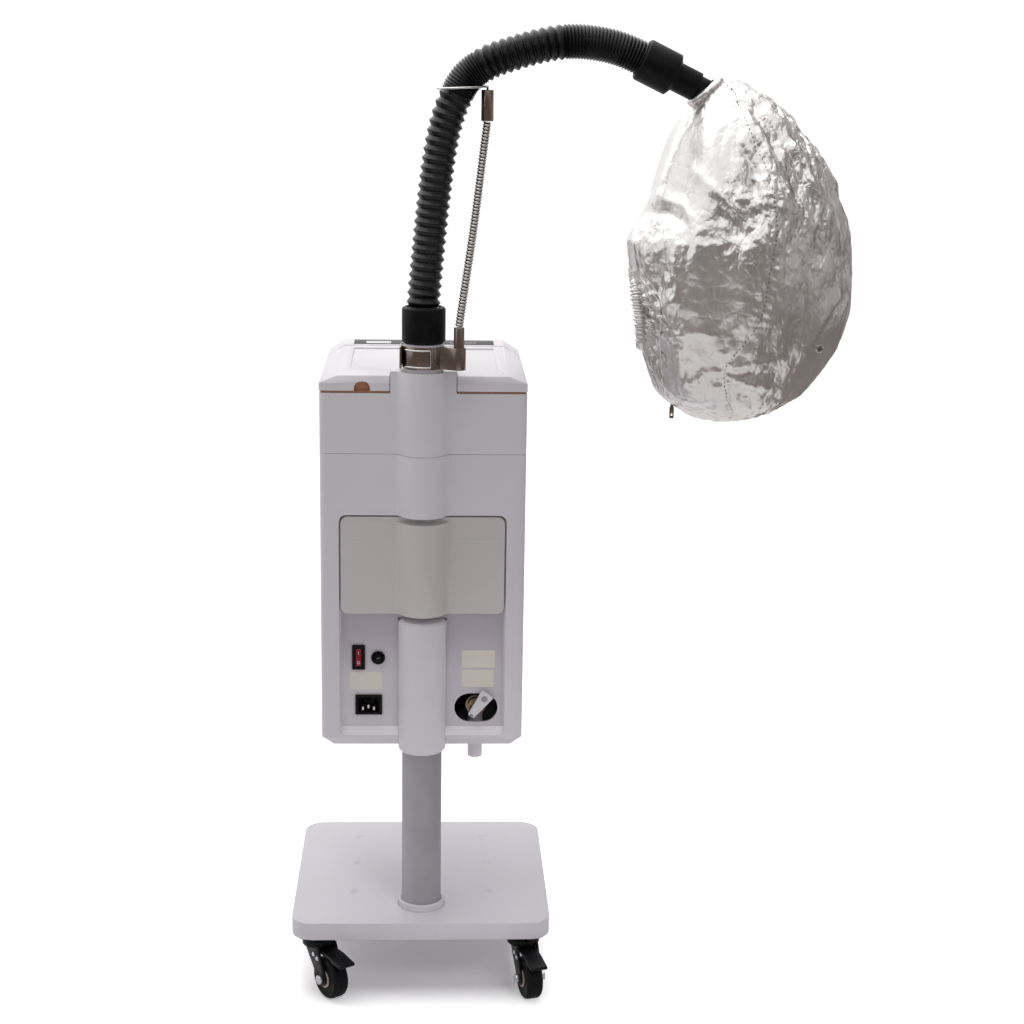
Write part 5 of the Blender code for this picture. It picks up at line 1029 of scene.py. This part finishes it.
def toStroke(points, grid):
    # distance from every grid point to a line of points, the signed side of it, and how far along it is
    flat = grid.reshape(-1, 3)
    best = np.full(len(flat), 1e9)
    side, run = np.zeros(len(flat)), np.zeros(len(flat))
    steps = len(points) - 1
    for k in range(steps):
        a, b = np.array(points[k]), np.array(points[k + 1])
        d = b - a
        t = unit(((flat - a) @ d) / max(d @ d, 1e-12))
        off = flat - a - t[:, None] * d
        far = np.linalg.norm(off, axis=1)
        near = far < best
        best[near] = far[near]
        side[near] = (off @ np.cross(d, (0.0, -1.0, 0.0)) > 0)[near] * 2.0 - 1.0
        run[near] = ((k + t) / steps)[near]
    return best, side, run


def strokeRise(grid, onHood):
    rise = 0.0
    front, back = strokes["flap"]
    end, gain = strokes["ends"]
    for height, width, oneSided, *pixels in strokes["lines"]:
        far, side, run = toStroke([onHood(x, y) for x, y in pixels], grid)
        shape = unit(1 - far / (width * strokes["reach"])) ** 2
        if oneSided:
            shape = unit(1 - far / (width * np.where(side > 0, front, back)))
        rise = rise + height * shape * unit(np.sin(math.pi * np.clip(run, end, 1 - end)) * gain)
    return rise


seam = {"pixels": ((723, 82), (747, 123), (759, 154), (770, 177), (776, 210), (776, 244), (770, 278), (764, 311),
                   (757, 328), (745, 345), (731, 361), (725, 370), (724, 384), (728, 403), (733, 414)),
        "ways": ((0.5, -0.2, -0.8), (0.3, 0.3, -0.9)), "perSpan": 8, "step": 0.004, "dip": 0.0016, "width": 0.0060,
        # puckers: height, where they end and begin, then how often they come and how that varies
        "pucker": 0.0008, "reach": 0.010, "from": 0.002, "waves": (210, 1.3, 3.0, 37), "fade": (0.6, 23),
        "stitch": (0.0012, 0.0005, 0.0003), "stitchStep": 0.0050, "stitchRise": 0.0003, "stitchSize": 1.2}


def seamRise(path, grid):
    # the seam pulls the cloth in, with small puckers beside it
    far, side, run = toStroke(evenPath(path, seam["step"])[0], grid)
    often, apart, sway, slow = seam["waves"]
    even, slower = seam["fade"]
    pucker = np.sin(run * often + side * apart + sway * np.sin(run * slow))
    pucker *= (even + (1 - even) * np.sin(run * slower)) * np.exp(-(far / seam["reach"]) ** 2)
    return seam["pucker"] * pucker * unit(far / seam["from"]) - seam["dip"] * unit(1 - far / seam["width"])


def stitchSeam(path, skin):
    places = []
    line = [Vector(p) for p in evenPath(path, seam["stitchStep"])[0]]
    for before, here, after in zip(line, line[1:], line[2:]):
        spot, facing = skin.find_nearest(here)[:2]
        facing = towardCamera(facing)
        places.append((spot + facing * seam["stitchRise"], facing, after - before))
    tip, waist, thick = seam["stitch"]
    corners = [(-tip, 0, 0), (-waist, thick, thick), (-waist, -thick, thick), (waist, thick, thick),
               (waist, -thick, thick), (tip, 0, 0), (-waist, 0, -thick), (waist, 0, -thick)]
    stitch = meshFrom("stitch", corners, [(0, 2, 1), (1, 2, 4, 3), (3, 4, 5), (0, 1, 6), (1, 3, 7, 6), (3, 5, 7),
                                          (0, 6, 2), (2, 6, 7, 4), (4, 7, 5)])
    mesh = spreadShape(stitch, places, "thread", seam["stitchSize"])
    settled("seamStitches", mesh, "thread", "hood")


face = {"oval": (0.010, 0.8036, 0.046, 0.042), "gathers": 34, "height": 0.0022, "sway": (0.8, 3), "fade": 2.6,
        "draw": 1.22, "leftOf": 0.30}
rim = {"steps": 760, "sides": 12, "thick": 0.0046, "broad": 0.0062, "gathers": 92, "ruffle": 0.0019, "lean": 0.65,
       "shift": 0.004, "clear": 0.001, "seed": 3, "knots": 91, "jitter": 1.6,
       # even share and count of swells, then count, sway and its count; shares of the waves outward and sideways
       "wave": (0.7, 7), "cross": (0.6, 2.0, 3), "outward": (0.45, 0.6), "sideways": (0.5, 0.4)}
rimSpots = cornersOf("hood_rim")
rimPlane = np.linalg.lstsq(np.c_[np.ones(len(rimSpots)), rimSpots[:, 1:]], rimSpots[:, 0], rcond=None)[0]


def rimX(y, z):
    # the plane of the frame's own rim, set a little more upright, as in the photograph
    faceZ = face["oval"][1]
    return rimPlane[0] + rimPlane[1] * y + rimPlane[2] * (faceZ + (z - faceZ) * rim["lean"]) + rim["shift"]


def makeHood():
    rng = np.random.default_rng(hood["seed"])
    grid, share = hoodGrid()
    points, normals = grid.reshape(-1, 3), gridNormals(grid).reshape(-1, 3)
    faces = np.array(gridFaces(hood["rows"], hood["columns"], roundRows=False))
    skin = skinOf(points, faces)

    def onHood(x, y):
        eye, way = sightLine(x, y)
        hit = skin.ray_cast(eye, way)[0]
        return np.array(hit if hit is not None else skin.find_nearest(eye + way * hood["away"])[0])

    lively = hoodCrumple(points)
    rise = randomCreases(rng, grid, points, normals) * lively
    rise -= ridgeRise(rng, points) * lively
    rise += strokeRise(grid, onHood)
    seamPath = smoothPath([onHood(x, y) for x, y in seam["pixels"]], *seam["ways"], seam["perSpan"])
    rise += seamRise(seamPath, grid)
    # gathers run into the elastic of the face opening
    faceY, faceZ, semiY, semiZ = face["oval"]
    y, z = (points[:, 1] - faceY) / semiY, (points[:, 2] - faceZ) / semiZ
    ringAt, turn = np.sqrt(y * y + z * z), np.arctan2(z, y)
    onLeft = points[:, 0] < face["leftOf"]
    near = np.exp(-np.maximum(ringAt - 1, 0) * face["fade"]) * onLeft
    sway, swings = face["sway"]
    rise += near * face["height"] * np.sin(face["gathers"] * turn + sway * np.sin(swings * turn))
    smooth = ((onHood(*hood["snapAt"]), hood["snapReach"]), (np.array(hood["sliderAt"]), hood["sliderReach"]))
    for spot, reach in smooth:
        rise *= 1 - np.exp(-(np.linalg.norm(points - spot, axis=1) / reach) ** 2)
    rise *= unit(np.repeat(share, hood["columns"]) / hood["held"])
    moved = points + normals * rise[:, None]
    # the cloth is drawn in to the rim of the opening
    inside = (ringAt < 1.0) & onLeft
    kept = faces[~inside[faces].all(axis=1)]
    edge = inside & np.isin(np.arange(len(inside)), kept)
    moved[edge, 1] = faceY + y[edge] / ringAt[edge] * semiY
    moved[edge, 2] = faceZ + z[edge] / ringAt[edge] * semiZ
    drawn = unit((face["draw"] - ringAt) / (face["draw"] - 1)) * onLeft
    moved[:, 0] += drawn * (rimX(moved[:, 1], moved[:, 2]) - moved[:, 0])
    mesh = meshFrom("hoodCloth", moved, [tuple(int(i) for i in f) for f in kept])
    layer = mesh.attributes.new("lively", "FLOAT", "POINT")
    layer.data.foreach_set("value", lively.astype(np.float32))
    work = bmesh.new()
    work.from_mesh(mesh)
    bmesh.ops.delete(work, geom=[v for v in work.verts if not v.link_faces], context="VERTS")
    foot = min(v.co.z for v in work.verts) + hood["foot"]
    lowest = [e for e in work.edges if e.is_boundary and max(v.co.z for v in e.verts) < foot]
    bmesh.ops.holes_fill(work, edges=lowest, sides=0)
    bmesh.ops.recalc_face_normals(work, faces=work.faces)
    work.to_mesh(mesh)
    work.free()
    thick = modified(mesh, "SOLIDIFY", thickness=hood["cloth"], offset=-1, use_rim=True)
    piece = settled("hoodCloth", thick, "foil", "hood", ["hood_shell"], angle=60)
    skin = skinOf(moved, kept)
    stitchSeam(seamPath, skin)
    return skin


hoodSkin = makeHood()

hem = {"profile": ((0.0150, -0.0048), (0.0200, -0.0046), (0.0224, -0.0034), (0.0228, 0.0000), (0.0222, 0.0030),
                   (0.0200, 0.0050)), "steps": 156, "gathers": 17, "sway": (1.5, 3), "depth": 0.0003, "wall": 0.0003,
       "radius": 0.022, "from": -0.004}


def makeHem():
    # the foil is drawn over the edge of the inlet's flange
    mesh = turnedMesh(hem["profile"], (0, 0, 0), (0, 0, 1), hem["steps"], False)
    sway, swings = hem["sway"]
    for corner in mesh.vertices:
        turn = math.atan2(corner.co.y, corner.co.x)
        wave = math.sin(hem["gathers"] * turn + sway * math.sin(swings * turn)) * (corner.co.z > hem["from"])
        push = 1 + hem["depth"] / hem["radius"] * wave
        corner.co.x, corner.co.y = corner.co.x * push, corner.co.y * push
    turn = Vector((0, 0, 1)).rotation_difference(flangeWay()).to_matrix().to_4x4()
    mesh.transform(Matrix.Translation(hood["flange"]) @ turn)
    thick = modified(mesh, "SOLIDIFY", thickness=hem["wall"], offset=0)
    settled("neckHem", thick, "foil", "hood", angle=60)


def makeRim():
    # foil gathered on the elastic of the face opening, each gather with its own shift
    faceY, faceZ, semiY, semiZ = face["oval"]
    rng = np.random.default_rng(rim["seed"])
    steps, sides, knots = (rim[key] for key in ("steps", "sides", "knots"))
    jitter = rng.uniform(-rim["jitter"], rim["jitter"], knots)
    jitter = np.interp(np.arange(steps), np.linspace(0, steps, knots), jitter)
    (even, swells), (count, sway, swings) = rim["wave"], rim["cross"]
    (outward, level), (crossShare, waveShare) = rim["outward"], rim["sideways"]
    corners = []
    for k in range(steps):
        a = math.tau * k / steps
        wave = math.sin(rim["gathers"] * a + jitter[k]) * (even + (1 - even) * math.sin(swells * a + jitter[k]))
        cross = math.sin(rim["gathers"] * count * a + sway * math.sin(swings * a) + 1)
        flat = rimX(faceY + semiY * math.cos(a), faceZ + semiZ * math.sin(a))
        for i in range(sides):
            b = math.tau * i / sides
            push = rim["ruffle"] * outward * wave * (level + (1 - level) * math.cos(b))
            out = rim["clear"] + rim["thick"] * math.cos(b) + push
            along = (rim["broad"] + rim["ruffle"] * (crossShare * cross + waveShare * wave)) * math.sin(b)
            corners.append((flat - along, faceY + (semiY + out) * math.cos(a), faceZ + (semiZ + out) * math.sin(a)))
    mesh = remade(meshFrom("rim", corners, gridFaces(steps, sides)))
    settled("elasticRim", mesh, "foil", "hood", ["hood_rim"], angle=70)


snap = {"ring": ((0.0034, -0.0016), (0.0046, -0.0016), (0.0049, 0.0002), (0.0047, 0.0012), (0.0041, 0.0016),
                 (0.0036, 0.0011), (0.0034, 0.0001)),
        "eye": ((0.0036, -0.0014), (0.0036, -0.0001), (0.0024, 0.0000), (0.0017, 0.0007), (0.0, 0.0009)),
        "steps": (28, 24), "level": 0.007, "turn": 0.6, "rise": 0.0009}


def makeSnap():
    # level with the cloth around it, but turned a little to the camera
    eye, way = sightLine(*hood["snapAt"])
    spot = hoodSkin.ray_cast(eye, way)[0]
    facing = Vector((0, 0, 0))
    for found in hoodSkin.find_nearest_range(spot, snap["level"]):
        facing += towardCamera(found[1])
    facing = (facing.normalized() - way * snap["turn"]).normalized()
    spot += facing * snap["rise"]
    ring, button = (turnedMesh(snap[key], spot, facing, steps) for key, steps in zip(("ring", "eye"), snap["steps"]))
    settled("hoodSnap", ring, "steel", "hood", ["hood_snap"])
    settled("snapEye", button, "nickel", "hood")


zipper = {"lines": (((634, 243), (636, 260), (640, 277), (650, 290), (659, 302), (661, 316)),
                    ((638, 243), (640, 260), (644, 275), (653, 287), (661, 299), (663, 314)),
                    ((661, 316), (660, 345), (662, 372), (666, 397))),
          "tape": ((653, 356), (657, 372), (662, 386), (666, 397)), "tapeShifts": (-5.0, -2.6, -0.2, 2.2),
          "half": 0.00085, "high": 0.00075, "tapeHalf": 0.0006, "lift": 0.3, "sides": 8, "samples": 46, "soften": 5,
          "slider": (0.0042, 0.0030, 0.0034), "corner": 0.3, "clear": 0.0012,  # clear of the pull's swing
          "cheek": {"low": 0.0013, "tall": 0.0042, "half": 0.0015, "inner": 0.00095, "thick": 0.0006, "corner": 0.8}}


def pipingMesh(pixels, half, high):
    # a thin welt laid on the cloth along a line of the photograph
    at = np.linspace(0, len(pixels) - 1, zipper["samples"])
    columns = [np.interp(at, range(len(pixels)), [p[k] for p in pixels]) for k in range(2)]
    found = [hoodSkin.ray_cast(*sightLine(x, y))[:2] for x, y in zip(*columns)]
    found = [(spot[:], towardCamera(facing)[:]) for spot, facing in found if spot is not None]
    spots, facings = (np.stack([averaged(column, zipper["soften"]) for column in np.array(rows).T], axis=1)
                      for rows in zip(*found))
    side = np.cross(facings, np.gradient(spots, axis=0))
    side /= np.linalg.norm(side, axis=1, keepdims=True)
    facings /= np.linalg.norm(facings, axis=1, keepdims=True)
    corners = []
    sides, count = zipper["sides"], len(spots)
    for k in range(count):
        for i in range(sides):
            turn = math.tau * i / sides
            up = high * (math.sin(turn) + zipper["lift"])
            corners.append(spots[k] + side[k] * half * math.cos(turn) + facings[k] * up)
    faces = gridFaces(count, sides, roundRows=False)
    faces += [tuple(range(sides))[::-1], tuple((count - 1) * sides + i for i in range(sides))]
    return remade(meshFrom("piping", corners, faces))


def makeZip():
    # the welts of the hem, the ribs of the zip's tape and the slider that carries the pull
    welts = [pipingMesh(line, zipper["half"], zipper["high"]) for line in zipper["lines"]]
    for shift in zipper["tapeShifts"]:
        welts.append(pipingMesh([(x + shift, y) for x, y in zipper["tape"]], zipper["tapeHalf"], zipper["high"]))
    settled("zipTape", joined(welts), "foil", "hood", angle=60)
    wide, deep, high = zipper["slider"]
    x, y, z = hood["sliderAt"]
    middleZ = z + zipper["clear"] + high / 2
    block = plateMesh(roundBox(wide, high, high * zipper["corner"]), deep,
                      lambda u, v, w: (x + u, y + deep / 2 - w, middleZ + v))
    # two cheeks reach down on either side of the pull and hold it
    corners = cornersOf("zip_pull")
    middle, top = (corners[:, 0].min() + corners[:, 0].max()) / 2, corners[:, 2].max()
    cheek = zipper["cheek"]
    half, inner = cheek["half"], cheek["inner"]
    outline = outlineRound((-half, -cheek["low"]), (half, cheek["tall"]), half * cheek["corner"])
    cheeks = [plateMesh(outline, cheek["thick"], lambda u, v, w: (middle + u, side * (inner + w), top + v))
              for side in (-1, 1)]
    settled("zipSlider", joined([block] + cheeks), "nickel", "hood")


makeHem()
makeRim()
makeSnap()
makeZip()
print("hood ready")

# the sloping foot of the rear recess

sill = {"panel": 0.0015, "front": -0.0062, "foot": 0.3068, "rise": 0.0085, "ends": (0.0270, 0.0945)}


def makeSill():
    inner, outer = sill["ends"]
    panel, foot = sill["panel"], sill["foot"]
    section = [(panel, foot), (panel, foot + sill["rise"]), (sill["front"], foot)]
    strips = [plateMesh(section, outer - inner, lambda y, z, out: (start + out, y, z)) for start in (-outer, inner)]
    # its finish is the casing's white painted lighter, as painted light on the slope
    settled("recessSill", joined(strips), "sill", bodyOf["main_housing"])


makeSill()

# marks and small fittings

def faceOf(node, x, z):
    # a flat frame on the side of a node that faces the camera
    work = bmesh.new()
    work.from_mesh(nodes[node].data)
    skin = BVHTree.FromBMesh(work)
    work.free()
    spot, facing = skin.ray_cast(Vector((x, -1, z)), Vector((0, 1, 0)))[:2]
    right = Vector((0, 0, 1)).cross(facing).normalized()
    up = facing.cross(right)
    return lambda u, v, w: spot + right * u + up * v + facing * w


def topOf(x, y, z):
    return lambda u, v, w: Vector((x + u, y + v, z + w))


def tilted(place, degrees):
    c, s = math.cos(math.radians(degrees)), math.sin(math.radians(degrees))
    return lambda u, v, w: place(u * c - v * s, u * s + v * c, w)


def box(width, height):
    return [(-width / 2, -height / 2), (width / 2, -height / 2), (width / 2, height / 2), (-width / 2, height / 2)]


def disc(radius, steps=20):
    return [(radius * math.cos(math.tau * k / steps), radius * math.sin(math.tau * k / steps)) for k in range(steps)]


def inlaid(outline, place, rise, sink=0.0002):
    # a thin plate that reaches into a face by sink and stands out of it by rise
    return plateMesh(outline, 1.0, lambda u, v, w: place(u, v, w * (rise + sink) - sink))


def ringMesh(place, outer, inner, rise, sink=0.0002, steps=24):
    corners, section = [], ((inner, -sink), (outer, -sink), (outer, rise), (inner, rise))
    for k in range(steps):
        a = math.tau * k / steps
        corners += [place(radius * math.cos(a), radius * math.sin(a), height) for radius, height in section]
    return remade(meshFrom("ring", corners, gridFaces(steps, len(section))))


def marked(name, meshes, finish, node):
    settled(name, joined(meshes), finish, bodyOf[node])


# X and Z of the middle, width and height
labels = {"places": ((-0.0645, 0.3710, 0.037, 0.021), (0.0645, 0.3970, 0.038, 0.021), (0.0640, 0.3735, 0.037, 0.021)),
          "rise": 0.00025, "corner": 0.0012, "steps": 4}
plates = []
for x, z, width, height in labels["places"]:
    outline = roundBox(width, height, labels["corner"], labels["steps"])
    plates.append(inlaid(outline, faceOf("main_housing", x, z), labels["rise"]))
marked("blankLabels", plates, "sticker", "main_housing")

rocker = {"middle": (-0.0729, 0.399), "on": 0.0052, "off": -0.0055, "bar": (0.0006, 0.0034), "ring": (0.0018, 0.0012),
          "rise": 0.0001}
x, z = rocker["middle"]
bar = inlaid(box(*rocker["bar"]), faceOf("switch_rocker", x, z + rocker["on"]), rocker["rise"])
ring = ringMesh(faceOf("switch_rocker", x, z + rocker["off"]), *rocker["ring"], rocker["rise"])
marked("switchMarks", [bar, ring], "mark", "switch_rocker")

pins = {"places": ((-0.0677, 0.3410), (-0.0614, 0.3432), (-0.0551, 0.3410)), "size": (0.0021, 0.0040),
        "length": 0.0115}
marked("inletPins", [plateMesh(box(*pins["size"]), pins["length"], faceOf("mains_inlet", x, z))
                     for x, z in pins["places"]], "steel", "mains_inlet")

lever = {"dot": (0.0716, 0.3509), "radius": 0.0037, "dotRise": 0.0002, "slot": (0.0574, 0.3314), "turn": 54,
         "size": (0.0012, 0.0042), "rise": 0.0001}
dot = inlaid(disc(lever["radius"]), faceOf("drain_lever", *lever["dot"]), lever["dotRise"])
marked("leverDot", [dot], "grey", "drain_lever")
# a black plate where the lever's slot is: painted shade for the inside of the slot
slotPlace = tilted(faceOf("drain_lever", *lever["slot"]), lever["turn"])
marked("leverSlot", [inlaid(box(*lever["size"]), slotPlace, lever["rise"])], "black", "drain_lever")

fuse = {"middle": (-0.0506, 0.3985), "turn": 28, "size": (0.0062, 0.0013), "rise": 0.0001}
slotPlace = tilted(faceOf("fuse_cap", *fuse["middle"]), fuse["turn"])
marked("fuseSlot", [inlaid(box(*fuse["size"]), slotPlace, fuse["rise"])], "grey", "fuse_cap")

teeth = {"count": 26, "radius": 0.0086, "centre": (0.0622, 0.338), "middle": 0.0065, "length": 0.0040,
         "outline": ((-0.0006, -0.0004), (0.0008, -0.0003), (0.0008, 0.0003), (-0.0006, 0.0004)),
         "ring": (0.0084, 0.0066, 0.0, 0.0028), "ringFront": 0.0052}
x, z = teeth["centre"]
tooth = plateMesh(teeth["outline"], teeth["length"], topOf(0, 0, -teeth["length"] / 2))
places = []
for k in range(teeth["count"]):
    a = math.tau * k / teeth["count"]
    way = Vector((math.cos(a), 0, math.sin(a)))
    places.append((Vector((x, teeth["middle"], z)) + way * teeth["radius"], (0, -1, 0), way))
ring = ringMesh(lambda u, v, w: Vector((x + u, teeth["ringFront"] - w, z + v)), *teeth["ring"])
marked("drainTeeth", [spreadShape(tooth, places, "brass"), ring], "brass", "drain_valve")

screw = {"profile": ((0.0022, -0.0003), (0.0022, 0.0004), (0.0016, 0.0011), (0.0006, 0.0014), (0.0, 0.0014)),
         "sides": 12, "across": 0.090, "rows": (0.022, 0.118, 0.215), "cover": 0.2920}
head = turnedMesh(screw["profile"], (0, 0, 0), (0, 0, 1), screw["sides"])
places = [((side * screw["across"], y, screw["cover"]), (0, 0, -1), (1, 0, 0))
          for side in (-1, 1) for y in screw["rows"]]
marked("coverScrews", [spreadShape(head.copy(), places, "zinc")], "zinc", "bottom_cover")

# X, Y and turn of each caster; hub: outer and inner radius, rise and sink of its ring
casters = {"swivels": {"rearLeft": (-0.120, -0.026, 35), "rearRight": (0.120, -0.026, 15),
                       "frontLeft": (-0.120, 0.214, 25), "frontRight": (0.120, 0.214, -10)},
           "plate": (0.0175, 0.07132), "hub": (0.0108, 0.0080, 0.0012, 0.001), "hubSide": 0.0094, "trail": 0.027,
           "axle": 0.025, "bolts": ((-0.0105, 0.0500), (-0.0185, 0.0475)), "cheek": 0.0133, "boltSize": 1.25}
for label, (x, y, turn) in casters["swivels"].items():
    node = label.replace("L", "_l").replace("R", "_r")
    reach, height = casters["plate"]
    corners = [((x + i * reach, y + j * reach, height), (0, 0, -1), (1, 0, 0)) for i in (-1, 1) for j in (-1, 1)]
    swivel = Matrix.Translation((x, y, 0)) @ Matrix.Rotation(math.radians(turn), 4, "Z")
    ahead = swivel.to_3x3() @ Vector((0, 1, 0))
    rings, bolts = [], []
    for side in (-1, 1):
        across = swivel.to_3x3() @ Vector((side, 0, 0))
        hub = swivel @ Vector((side * casters["hubSide"], -casters["trail"], casters["axle"]))
        rings.append(ringMesh(lambda u, v, w: hub + ahead * u + Vector((0, 0, v)) + across * w, *casters["hub"]))
        bolts += [(swivel @ Vector((side * casters["cheek"], *spot)), across, (0, 0, 1)) for spot in casters["bolts"]]
    plateScrews = spreadShape(head.copy(), corners, "zinc")
    forkBolts = spreadShape(head.copy(), bolts, "zinc", casters["boltSize"])
    marked("plateScrews-" + label, [plateScrews], "zinc", "caster_plate_" + node)
    marked("hubRings-" + label, rings, "cream", "caster_wheel_" + node)
    marked("forkBolts-" + label, [forkBolts], "zinc", "caster_fork_" + node)

level = {"height": 0.5385, "from": 0.037, "to": 0.087, "parts": 10, "thick": 0.0009, "overlap": 1.02, "rise": 0.00025}
run = (level["to"] - level["from"]) / level["parts"]
dash = box(run * level["overlap"], level["thick"])
dashes = [inlaid(dash, faceOf("water_tank", side * (level["from"] + run * (k + 0.5)), level["height"]), level["rise"])
          for side in (-1, 1) for k in range(level["parts"])]
marked("tankLevelLines", dashes, "mark", "water_tank")

strip = {"top": 0.7318, "rise": 0.00012, "window": (-0.055, 0.2065), "windowSize": (0.030, 0.017, 0.002, 4),
         "keys": 5, "first": -0.020, "pitch": 0.0190, "row": 0.2060, "ring": (0.0062, 0.0055), "dot": 0.0012,
         "lights": ((0.042, 0.2190), (0.054, 0.2190), (0.066, 0.2190)), "lightSize": (0.0040, 0.0016)}
top, rise = strip["top"], strip["rise"]
marks = [inlaid(roundBox(*strip["windowSize"]), topOf(*strip["window"], top), rise)]
for k in range(strip["keys"]):
    spot = topOf(strip["first"] + k * strip["pitch"], strip["row"], top)
    marks += [ringMesh(spot, *strip["ring"], rise), inlaid(disc(strip["dot"]), spot, rise)]
marked("stripMarks", marks, "mark", "control_panel")
lights = [inlaid(box(*strip["lightSize"]), topOf(*place, top), rise) for place in strip["lights"]]
marked("stripLights", lights, "redMark", "control_panel")
print("fittings ready")
